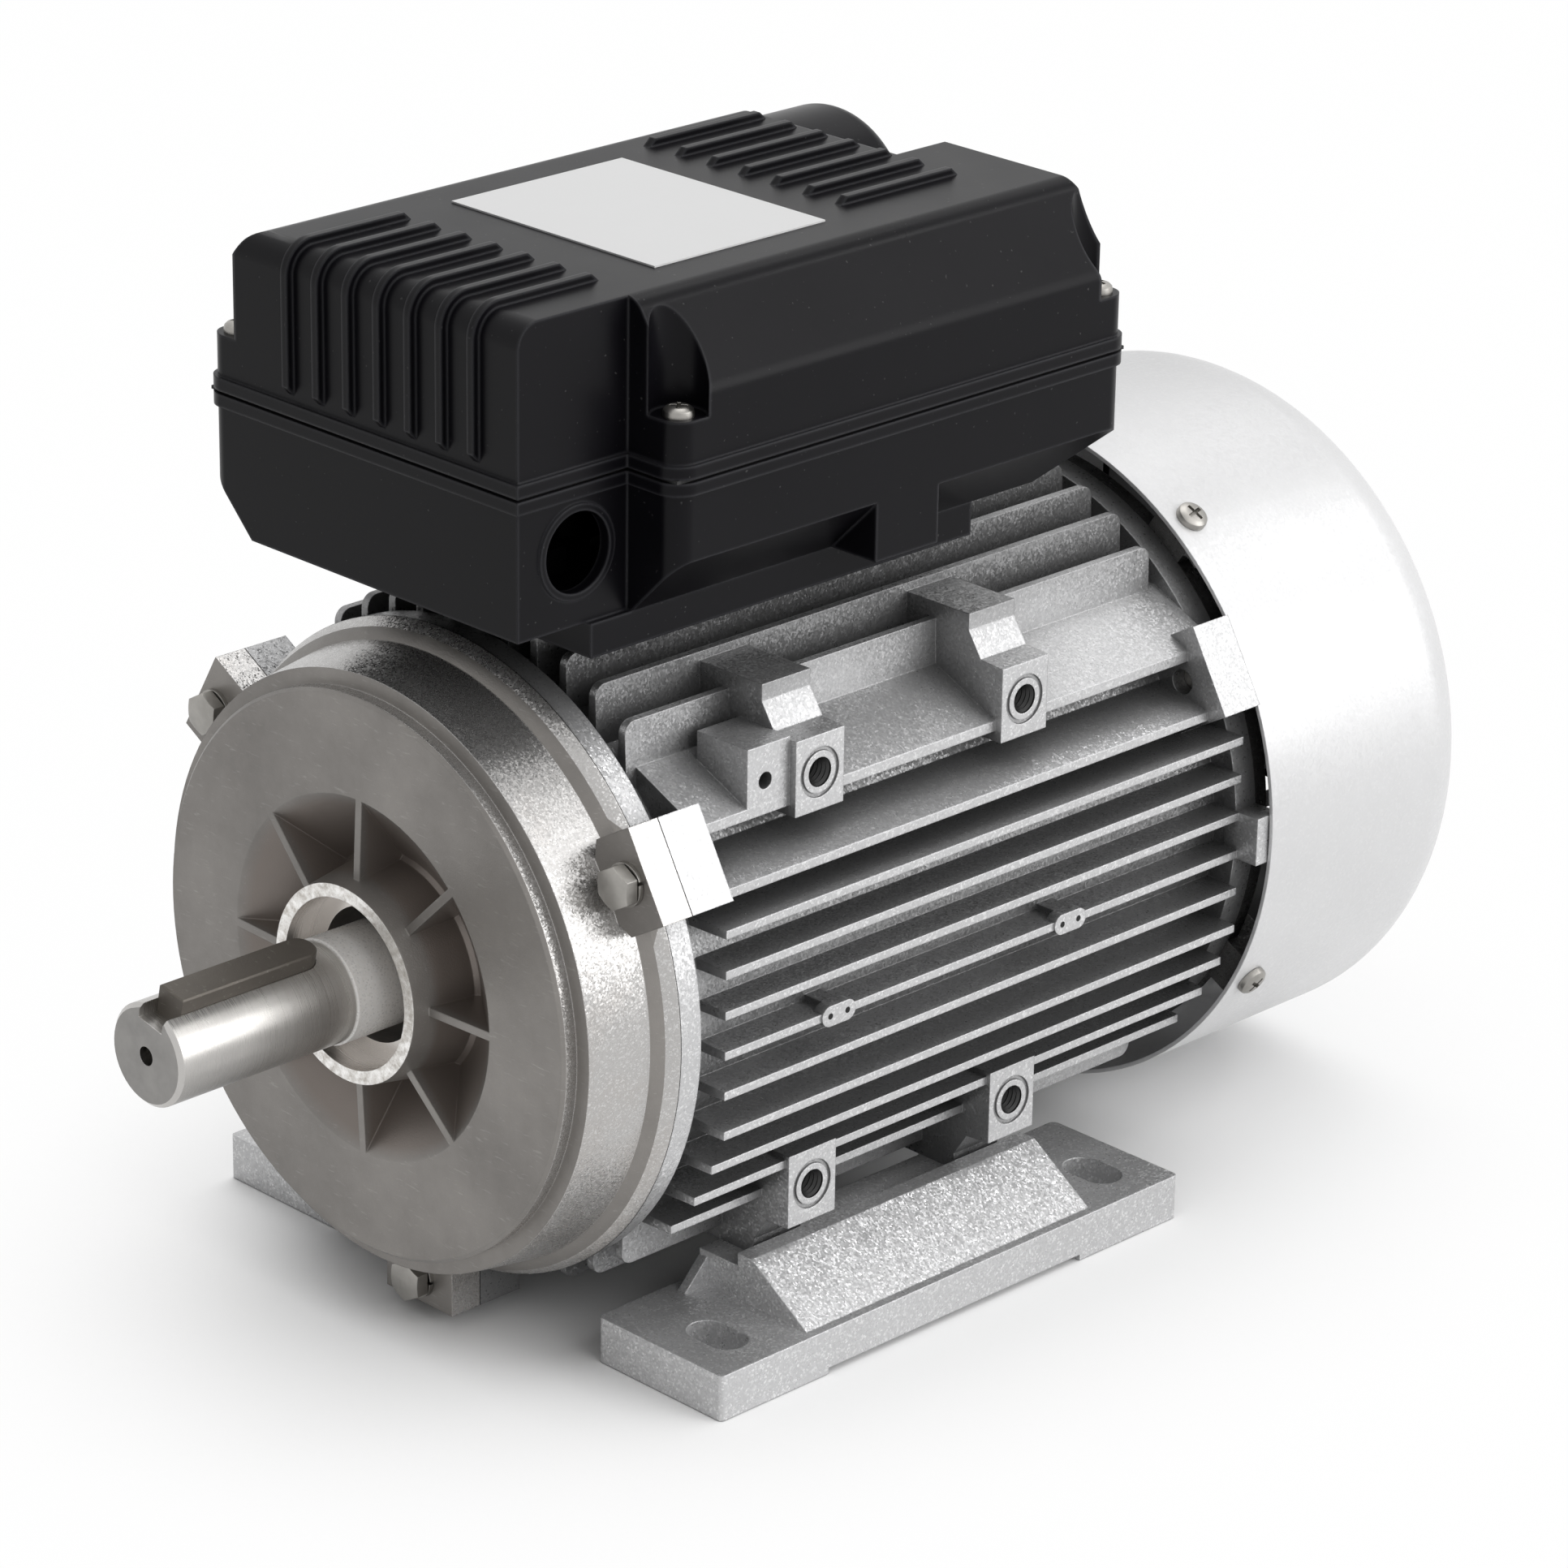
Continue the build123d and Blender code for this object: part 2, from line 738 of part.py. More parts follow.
# the stator core and its two windings
slot_root = core_bore_radius + slot_depth
with BuildPart() as stator_core:
    with BuildSketch(across(core_front)):
        Circle(bore_radius - press_gap)
        Circle(core_bore_radius, mode=Mode.SUBTRACT)
        with PolarLocations(0, slot_count):
            Polygon(
                (core_bore_radius - 2, -slot_width / 4),
                (core_bore_radius + 3, -slot_width / 3),
                (slot_root, -slot_width / 2),
                (slot_root, slot_width / 2),
                (core_bore_radius + 3, slot_width / 3),
                (core_bore_radius - 2, slot_width / 4),
                align=None,
                mode=Mode.SUBTRACT,
            )
    extrude(amount=-core_length)
finish(stator_core, "stator_core")


def slot_half(radius):
    """Half width of a stator slot at a radius, less its lining."""
    share = (radius - core_bore_radius - 3) / (slot_depth - 3)
    return slot_width / 3 + (slot_width / 2 - slot_width / 3) * share - fit_gap


with BuildPart() as main_winding:
    for start in (core_front - 1 - turn_length, core_rear + 1):
        with BuildSketch(across(start)):
            RegularPolygon(turn_outer, slot_count)
            RegularPolygon(turn_split + 0.6, slot_count, mode=Mode.SUBTRACT)
        extrude(amount=-turn_length)
    with BuildSketch(across(core_front - 2)):
        with PolarLocations(0, slot_count):
            Polygon(
                (turn_split + 0.6, -slot_half(turn_split)),
                (slot_root - fit_gap, -slot_half(slot_root)),
                (slot_root - fit_gap, slot_half(slot_root)),
                (turn_split + 0.6, slot_half(turn_split)),
                align=None,
            )
    extrude(amount=-(core_length + 4))
finish(main_winding, "main_winding")

with BuildPart() as start_winding:
    for start in (core_front - 1 - turn_length, core_rear + 1):
        with BuildSketch(across(start)):
            RegularPolygon(turn_split, slot_count)
            RegularPolygon(core_bore_radius + 2.5, slot_count, mode=Mode.SUBTRACT)
        extrude(amount=-turn_length)
    with BuildSketch(across(core_front - 2)):
        with PolarLocations(0, slot_count):
            Polygon(
                (core_bore_radius + 3, -slot_half(core_bore_radius + 3)),
                (turn_split - 0.6, -slot_half(turn_split - 0.6)),
                (turn_split - 0.6, slot_half(turn_split - 0.6)),
                (core_bore_radius + 3, slot_half(core_bore_radius + 3)),
                align=None,
            )
    extrude(amount=-(core_length + 4))
finish(start_winding, "start_winding")

# the rotor
rotor_radius = core_bore_radius - air_gap
bar_outer = rotor_radius - 1.6
with BuildPart() as rotor_core:
    with BuildSketch(across(core_front)):
        Circle(rotor_radius)
        Circle(body_dia / 2 + press_gap, mode=Mode.SUBTRACT)
        with PolarLocations(bar_outer - rotor_bar_depth / 2, rotor_bar_count):
            Rectangle(rotor_bar_depth, rotor_bar_width, mode=Mode.SUBTRACT)
    extrude(amount=-core_length)
finish(rotor_core, "rotor_core")

with BuildPart() as rotor_cage:
    for start in (core_front - cage_ring_length, core_rear):
        with BuildSketch(across(start)):
            Circle(rotor_radius - 0.8)
            Circle(cage_ring_bore, mode=Mode.SUBTRACT)
        extrude(amount=-cage_ring_length)
    with BuildSketch(across(core_front - 1)):
        with PolarLocations(bar_outer - rotor_bar_depth / 2, rotor_bar_count):
            Rectangle(rotor_bar_depth - 2 * press_gap, rotor_bar_width - 2 * press_gap)
    extrude(amount=-(core_length + 2))
finish(rotor_cage, "rotor_cage")

# the rear end shield and what holds it
web_front = rear_seam + 2
rear_seat_radius = rear_bearing_outer / 2 + press_gap
shield_hub_rear = rear_bearing_rear + 3
lug_angles = (55, 125, -29, 209)
lug_y = cover_front + 7.3
with BuildPart() as rear_end_shield:
    turned(
        (rear_seam, ring_radius),
        (rear_seam + rear_flange_length, ring_radius),
        (rear_seam + rear_flange_length, bore_radius),
        (web_front + rear_web_thickness, bore_radius - 2),
        (web_front + rear_web_thickness, rear_hub_radius),
        (shield_hub_rear, rear_hub_radius - 2),
        (shield_hub_rear, rear_bearing_bore / 2 + 1),
        (rear_bearing_rear + 1, rear_bearing_bore / 2 + 1),
        (rear_bearing_rear + 1, rear_seat_radius),
        (rear_bearing_front - 2, rear_seat_radius),
        (web_front, rear_seat_radius),
        (web_front, bore_radius - spigot_wall),
        (rear_seam - spigot_length, bore_radius - spigot_wall),
        (rear_seam - spigot_length, bore_radius - press_gap),
        (rear_seam, bore_radius - press_gap),
    )
    for angle in lug_angles:
        with BuildSketch(radial(angle, ring_radius - 6)):
            with Locations((rear_seam + cover_lug_length / 2, 0)):
                Rectangle(cover_lug_length, cover_lug_width)
        extrude(amount=cover_inner - cover_lug_gap - ring_radius + 6)
        with BuildSketch(radial(angle, cover_inner)):
            with Locations((lug_y, 0)):
                Circle(cover_screw_dia / 2 + press_gap)
        extrude(amount=-11, mode=Mode.SUBTRACT)
    with BuildSketch(across(rear_seam)):
        with PolarLocations(rear_ear_circle, 3, start_angle=ear_angle):
            Rectangle(12, 16)
    extrude(amount=-rear_flange_length)
    with BuildSketch(across(rear_seam)):
        with PolarLocations(rear_ear_circle, 3, start_angle=ear_angle):
            Circle(shield_bolt_dia / 2 + fit_gap)
    extrude(amount=-rear_flange_length, mode=Mode.SUBTRACT)
finish(rear_end_shield, "rear_end_shield")

with BuildPart() as rear_shield_bolts:
    rear_head_y = rear_seam + rear_flange_length + spring_washer
    with BuildSketch(across(rear_head_y)):
        with PolarLocations(rear_ear_circle, 3, start_angle=ear_angle):
            RegularPolygon(shield_bolt_head / sqrt(3), 6)
    extrude(amount=-shield_head_height)
    with BuildSketch(across(rear_head_y)):
        with PolarLocations(rear_ear_circle, 3, start_angle=ear_angle):
            Circle(shield_bolt_dia / 2)
    extrude(amount=rear_head_y - rear_ear_front - 4)
finish(rear_shield_bolts, "rear_shield_bolts")

with BuildPart() as rear_shield_washers:
    with BuildSketch(across(rear_head_y)):
        with PolarLocations(rear_ear_circle, 3, start_angle=ear_angle):
            Circle(shield_bolt_dia / 2 + 2.2)
            Circle(shield_bolt_dia / 2 + press_gap, mode=Mode.SUBTRACT)
    extrude(amount=spring_washer)
finish(rear_shield_washers, "rear_shield_washers")

with BuildPart() as wave_washer:
    turned(
        (rear_bearing_rear + 0.2, rear_seat_radius - 6),
        (rear_bearing_rear + 0.8, rear_seat_radius - 6),
        (rear_bearing_rear + 0.8, rear_seat_radius - 0.3),
        (rear_bearing_rear + 0.2, rear_seat_radius - 0.3),
    )
finish(wave_washer, "wave_washer")

# the fan and its cover
with BuildPart() as fan:
    with BuildSketch(across(fan_front)):
        Circle(fan_hub_radius)
    extrude(amount=-fan_width)
    with BuildSketch(across(fan_front)):
        Circle(fan_radius - 20)
    extrude(amount=-2)
    with BuildSketch(across(fan_front)):
        with PolarLocations((fan_radius + fan_hub_radius - 2) / 2, fan_blades):
            Rectangle(fan_radius - fan_hub_radius + 2, blade_thickness)
    extrude(amount=-fan_width)
    with BuildSketch(across(fan_front)):
        Circle(fan_seat_dia / 2 + press_gap)
    extrude(amount=-fan_width, mode=Mode.SUBTRACT)
finish(fan, "fan")

with BuildPart() as fan_clip:
    turned(
        (clip_y + fit_gap / 2, fan_seat_dia / 2 - 0.7),
        (clip_y + fit_gap / 2 + clip_thickness, fan_seat_dia / 2 - 0.7),
        (clip_y + fit_gap / 2 + clip_thickness, fan_seat_dia / 2 + 2),
        (clip_y + fit_gap / 2, fan_seat_dia / 2 + 2),
    )
    with BuildSketch(across(clip_y - 1)):
        with Locations((0, -fan_seat_dia / 2)):
            Rectangle(6, 6)
    extrude(amount=-(clip_thickness + 3), mode=Mode.SUBTRACT)
finish(fan_clip, "fan_clip")

with BuildPart() as fan_cover:
    with BuildSketch(across(cover_front)):
        Circle(cover_radius)
    extrude(amount=-cover_length)
    fillet(fan_cover.faces().sort_by(Axis.Y)[-1].edges(), radius=cover_round)
    offset(amount=-cover_sheet, openings=fan_cover.faces().sort_by(Axis.Y)[0])
    # ring slots of the grille, cut between four spokes
    with BuildSketch(across(cover_rear - 2 * cover_sheet)):
        for k in reversed(range(grille_rings)):
            inner = grille_inner + k * grille_pitch
            Circle(inner + grille_slot)
            Circle(inner, mode=Mode.SUBTRACT)
        with PolarLocations(0, grille_ribs, start_angle=45):
            Rectangle(2 * cover_radius, grille_rib_width, align=(Align.MIN, Align.CENTER), mode=Mode.SUBTRACT)
    extrude(amount=-3 * cover_sheet, mode=Mode.SUBTRACT)
    for angle in lug_angles:
        with BuildSketch(radial(angle, cover_radius + 1)):
            with Locations((lug_y, 0)):
                Circle(cover_screw_dia / 2 + fit_gap)
        extrude(amount=-4, mode=Mode.SUBTRACT)
finish(fan_cover, "fan_cover")

with BuildPart() as fan_cover_screws:
    for angle in lug_angles:
        with BuildSketch(radial(angle, cover_radius + seat_gap)):
            with Locations((lug_y, 0)):
                Circle(cover_screw_head / 2)
        extrude(amount=cover_head_height, taper=20)
        with BuildSketch(radial(angle, cover_radius + seat_gap)):
            with Locations((lug_y, 0)):
                Circle(cover_screw_dia / 2)
        extrude(amount=-9)
finish(fan_cover_screws, "fan_cover_screws")

# the feet
foot_seat = shaft_height - pad_base
with BuildPart() as right_foot:
    with BuildSketch(Plane.XY):
        with Locations(((foot_inner + foot_outer) / 2, 0)):
            Rectangle(foot_outer - foot_inner, foot_length)
    extrude(amount=foot_thickness)
    corners = right_foot.edges().filter_by(Axis.Z)
    fillet(corners.sort_by(Axis.X)[2:], radius=3)
    fillet(right_foot.edges().filter_by(Axis.Z).sort_by(Axis.X)[:2], radius=8)
    with BuildSketch(across(-foot_rib_length / 2)):
        Polygon(
            (foot_web_inner, foot_thickness - 2 - shaft_height),
            (foot_web_inner, foot_seat - shaft_height),
            (foot_rib_top - foot_lip_width, foot_seat - shaft_height),
            (foot_rib_top - foot_lip_width, foot_seat + foot_lip_height - shaft_height),
            (foot_rib_top, foot_seat + foot_lip_height - shaft_height),
            (foot_rib_outer, foot_thickness - shaft_height),
            (foot_rib_outer, foot_thickness - 2 - shaft_height),
            align=None,
        )
    extrude(amount=-foot_rib_length)
    # small gussets at both ends of the seat
    with BuildSketch(Plane.YZ.offset(foot_web_inner)):
        Polygon(
            (-foot_rib_length / 2 - 7, foot_thickness),
            (-foot_rib_length / 2 + 1, foot_thickness - 1),
            (-foot_rib_length / 2 + 1, foot_seat - 0.5),
            align=None,
        )
        mirror(about=Plane.YZ)
    extrude(amount=2.5)
    with BuildSketch(Plane.XY):
        with Locations((foot_span / 2, -foot_pitch / 2), (foot_span / 2, foot_pitch / 2)):
            SlotOverall(foot_slot_length, foot_slot_width)
    extrude(amount=foot_thickness, mode=Mode.SUBTRACT)
    with BuildSketch(Plane.XY):
        with Locations(((foot_inner + foot_outer) / 2, 0)):
            Rectangle(foot_outer - foot_inner + 2, foot_rib_length - 10)
    extrude(amount=foot_relief, mode=Mode.SUBTRACT)
    # counterbored holes for the screws up into the pads
    with BuildSketch(Plane.XY):
        with Locations((foot_bolt_x, -pad_pitch / 2), (foot_bolt_x, pad_pitch / 2)):
            Circle(foot_bolt_dia / 2 + fit_gap)
    extrude(amount=foot_seat, mode=Mode.SUBTRACT)
    with BuildSketch(Plane.XY):
        with Locations((foot_bolt_x, -pad_pitch / 2), (foot_bolt_x, pad_pitch / 2)):
            Circle(foot_bolt_dia * 0.75 + 1)
    extrude(amount=foot_relief + foot_bolt_dia + 1, mode=Mode.SUBTRACT)
finish(right_foot, "right_foot")

with BuildPart() as left_foot:
    mirror(right_foot.part, about=Plane.YZ)
finish(left_foot, "left_foot")

with BuildPart() as foot_screws:
    screw_seat = foot_relief + foot_bolt_dia + 1
    with BuildSketch(Plane.XY.offset(screw_seat)):
        with GridLocations(2 * foot_bolt_x, pad_pitch, 2, 2):
            Circle(foot_bolt_dia * 0.75)
    extrude(amount=-foot_bolt_dia)
    with BuildSketch(Plane.XY.offset(screw_seat - foot_bolt_dia)):
        with GridLocations(2 * foot_bolt_x, pad_pitch, 2, 2):
            RegularPolygon(foot_bolt_dia * 0.43, 6)
    extrude(amount=4, mode=Mode.SUBTRACT)
    with BuildSketch(Plane.XY.offset(screw_seat)):
        with GridLocations(2 * foot_bolt_x, pad_pitch, 2, 2):
            Circle(foot_bolt_dia / 2)
    extrude(amount=foot_seat + 11 - screw_seat)
finish(foot_screws, "foot_screws")

# the terminal box
notch_x = box_half_width - notch_depth
base_top = box_parting - gasket_thickness / 2
lid_bottom = box_parting + gasket_thickness / 2
lid_screw_spots = (
    (box_half_width - lid_screw_inset, notch_rear + lid_screw_inset),
    (box_half_width - lid_screw_inset, box_rear - lid_screw_inset),
    (-box_half_width + lid_screw_inset, box_front + lid_screw_inset),
    (-box_half_width + lid_screw_inset, box_rear - lid_screw_inset),
)
boss_radius = scoop_radius + box_wall


def box_plan(inset):
    """Outline of the box seen from above, drawn inside by an inset."""
    return (
        (-box_half_width + inset, box_front + inset),
        (notch_x - inset, box_front + inset),
        (notch_x - inset, notch_rear + inset),
        (box_half_width - inset, notch_rear + inset),
        (box_half_width - inset, box_rear - inset),
        (-box_half_width + inset, box_rear - inset),
    )


def box_section(inset):
    """Front view of the base: a trough with both lower edges cut away."""
    slope = inset * 0.41
    return (
        (-box_half_width + inset, lid_top - shaft_height),
        (-box_half_width + inset, box_bottom + box_chamfer + slope - shaft_height),
        (-box_half_width + box_chamfer + slope, box_bottom + inset - shaft_height),
        (box_half_width - box_chamfer - slope, box_bottom + inset - shaft_height),
        (box_half_width - inset, box_bottom + box_chamfer + slope - shaft_height),
        (box_half_width - inset, lid_top - shaft_height),
    )


with BuildPart(mode=Mode.PRIVATE) as base_cavity:
    with BuildSketch(Plane.XY.offset(box_bottom)):
        Polygon(*box_plan(box_wall), align=None)
    extrude(amount=base_top - box_bottom)
    with BuildSketch(across(box_front)):
        Polygon(*box_section(box_wall), align=None)
    extrude(amount=box_front - box_rear, mode=Mode.INTERSECT)
    with BuildSketch(Plane.XY.offset(box_bottom)):
        with Locations(*lid_screw_spots):
            Circle(boss_radius)
    extrude(amount=base_top - box_bottom, mode=Mode.SUBTRACT)

with BuildPart() as terminal_box_base:
    with BuildSketch(Plane.XY.offset(box_bottom)) as base_plan:
        Polygon(*box_plan(0), align=None)
        fillet(base_plan.vertices().group_by(Axis.X)[0], radius=box_corner)
        fillet(base_plan.vertices().group_by(Axis.X)[-1], radius=box_corner)
    extrude(amount=base_top - box_bottom)
    with BuildSketch(across(box_front)):
        Polygon(*box_section(0), align=None)
    extrude(amount=box_front - box_rear, mode=Mode.INTERSECT)
    # sloping rear end of the underside
    with BuildSketch(Plane.YZ.offset(-box_half_width)):
        Polygon(
            (box_rear, box_bottom + 15),
            (box_rear - 15, box_bottom),
            (box_rear + 1, box_bottom - 1),
            (box_rear + 1, box_bottom + 15),
            align=None,
        )
    extrude(amount=2 * box_half_width, mode=Mode.SUBTRACT)
    # proud lip below the parting line
    with BuildSketch(Plane.XY.offset(box_parting - lip_height)) as lip_plan:
        Polygon(*box_plan(-lip_proud), align=None)
        fillet(lip_plan.vertices().group_by(Axis.X)[0], radius=box_corner + lip_proud)
        fillet(lip_plan.vertices().group_by(Axis.X)[-1], radius=box_corner + lip_proud)
    extrude(amount=base_top - box_parting + lip_height)
    add(base_cavity.part, mode=Mode.SUBTRACT)
    # legs that run straight down beside the frame
    for side in (1, -1):
        with BuildSketch(across(leg_front)):
            Polygon(
                (side * (box_half_width - box_chamfer - 1), box_bottom - shaft_height),
                (side * box_half_width, box_bottom - shaft_height),
                (side * box_half_width, box_bottom + box_chamfer + 1 - shaft_height),
                align=None,
            )
        extrude(amount=leg_front - leg_rear)
    # saddle
    with BuildSketch(Plane.XY.offset(box_bottom - saddle_height)):
        with Locations((0, (saddle_front + saddle_rear) / 2)):
            Rectangle(2 * saddle_half_width, saddle_rear - saddle_front)
    extrude(amount=saddle_height)
    # cable entry
    entry_plane = Plane(origin=(notch_x, entry_y, entry_z), x_dir=(0, 1, 0), z_dir=(1, 0, 0))
    with BuildSketch(entry_plane):
        Circle(entry_ring_dia / 2)
    extrude(amount=entry_ring_proud)
    with BuildSketch(entry_plane.offset(entry_ring_proud)):
        Circle(entry_dia / 2)
    extrude(amount=-(box_wall + entry_ring_proud), mode=Mode.SUBTRACT)
    # lead hole and screw holes
    with BuildSketch(Plane.XY.offset(box_bottom - saddle_height)):
        with Locations((0, lead_hole_y)):
            Circle(lead_hole_dia / 2)
        for y in (platform_front + base_screw_inset, platform_rear - base_screw_inset):
            with Locations((base_screw_x, y), (-base_screw_x, y)):
                Circle(base_screw_dia / 2 + fit_gap)
    extrude(amount=saddle_height + box_wall, mode=Mode.SUBTRACT)
    with BuildSketch(Plane.XY.offset(base_top)):
        with Locations(*lid_screw_spots):
            Circle(lid_screw_dia / 2 + press_gap)
    extrude(amount=-12, mode=Mode.SUBTRACT)
finish(terminal_box_base, "terminal_box_base")

with BuildPart() as base_gasket:
    with BuildSketch(Plane.XY.offset(platform_top)):
        with Locations((0, (platform_front + platform_rear) / 2)):
            Rectangle(2 * platform_half_width, platform_rear - platform_front)
        with Locations((0, lead_hole_y)):
            Circle(lead_hole_dia / 2, mode=Mode.SUBTRACT)
        for y in (platform_front + base_screw_inset, platform_rear - base_screw_inset):
            with Locations((base_screw_x, y), (-base_screw_x, y)):
                Circle(base_screw_dia / 2 + fit_gap, mode=Mode.SUBTRACT)
    extrude(amount=base_gasket_thickness)
finish(base_gasket, "base_gasket")

with BuildPart() as base_screws:
    with BuildSketch(Plane.XY.offset(box_bottom + box_wall)):
        for y in (platform_front + base_screw_inset, platform_rear - base_screw_inset):
            with Locations((base_screw_x, y), (-base_screw_x, y)):
                Circle(base_screw_head / 2)
    extrude(amount=3)
    with BuildSketch(Plane.XY.offset(box_bottom + box_wall)):
        for y in (platform_front + base_screw_inset, platform_rear - base_screw_inset):
            with Locations((base_screw_x, y), (-base_screw_x, y)):
                Circle(base_screw_dia / 2)
    extrude(amount=-(box_wall + saddle_height + base_gasket_thickness + 9))
finish(base_screws, "base_screws")

with BuildPart() as lid_gasket:
    with BuildSketch(Plane.XY.offset(base_top)):
        Polygon(*box_plan(0.4), align=None)
        Polygon(*box_plan(box_wall), align=None, mode=Mode.SUBTRACT)
        with Locations(*lid_screw_spots):
            Circle(lid_screw_dia / 2 + 1, mode=Mode.SUBTRACT)
    extrude(amount=gasket_thickness)
finish(lid_gasket, "lid_gasket")


def lid_section(inset):
    """Front view of the lid: upright walls, then slopes up to the flat top."""
    slope = inset * 0.33
    return (
        (-box_half_width + inset, lid_bottom - shaft_height),
        (-box_half_width + inset, lid_slope_start - slope - shaft_height),
        (-box_half_width + lid_slope_in + slope, lid_top - inset - shaft_height),
        (box_half_width - lid_slope_in - slope, lid_top - inset - shaft_height),
        (box_half_width - inset, lid_slope_start - slope - shaft_height),
        (box_half_width - inset, lid_bottom - shaft_height),
    )


hump_z = lid_top - hump_radius - shaft_height
with BuildPart(mode=Mode.PRIVATE) as lid_cavity:
    with BuildSketch(across(box_front + box_wall)):
        Polygon(*lid_section(box_wall), align=None)
    extrude(amount=box_front - box_rear + 2 * box_wall)
    with BuildSketch(Plane.XY.offset(lid_bottom)):
        Polygon(*box_plan(box_wall), align=None)
    extrude(amount=lid_top - lid_bottom, mode=Mode.INTERSECT)
    with BuildSketch(across(hump_front - box_wall)):
        Polygon(
            (-box_half_width, hump_z),
            (lobe_edge + box_wall, hump_z),
            (lobe_edge + box_wall, lid_top - shaft_height),
            (-box_half_width, lid_top - shaft_height),
            align=None,
        )
    extrude(amount=hump_front - box_rear, mode=Mode.SUBTRACT)
    with BuildSketch(Plane.YZ.offset(lobe_edge)):
        Polygon(
            (box_rear - lobe_drop - box_wall, lid_top + 0.1),
            (box_rear - box_wall + 0.1, lid_top - 2.5 * lobe_drop),
            (box_rear - box_wall + 0.1, lid_top + 0.1),
            align=None,
        )
    extrude(amount=box_half_width, mode=Mode.SUBTRACT)
    with BuildSketch(across(hump_front - box_wall - 1)):
        with Locations((hump_x, hump_z)):
            Circle(hump_radius - box_wall)
    extrude(amount=hump_front - box_rear - 1)
    with BuildSketch(Plane.XY.offset(lid_bottom)):
        with Locations(*lid_screw_spots):
            Circle(boss_radius)
    extrude(amount=lid_top - lid_bottom, mode=Mode.SUBTRACT)

with BuildPart(mode=Mode.PRIVATE) as hump:
    with BuildSketch(across(hump_front - 1)):
        with Locations((hump_x, hump_z)):
            Circle(hump_radius)
    extrude(amount=hump_front - box_rear - 1)
    fillet(hump.faces().sort_by(Axis.Y)[-1].edges(), radius=hump_end_round)
    split(bisect_by=Plane.XY.offset(hump_z + shaft_height))

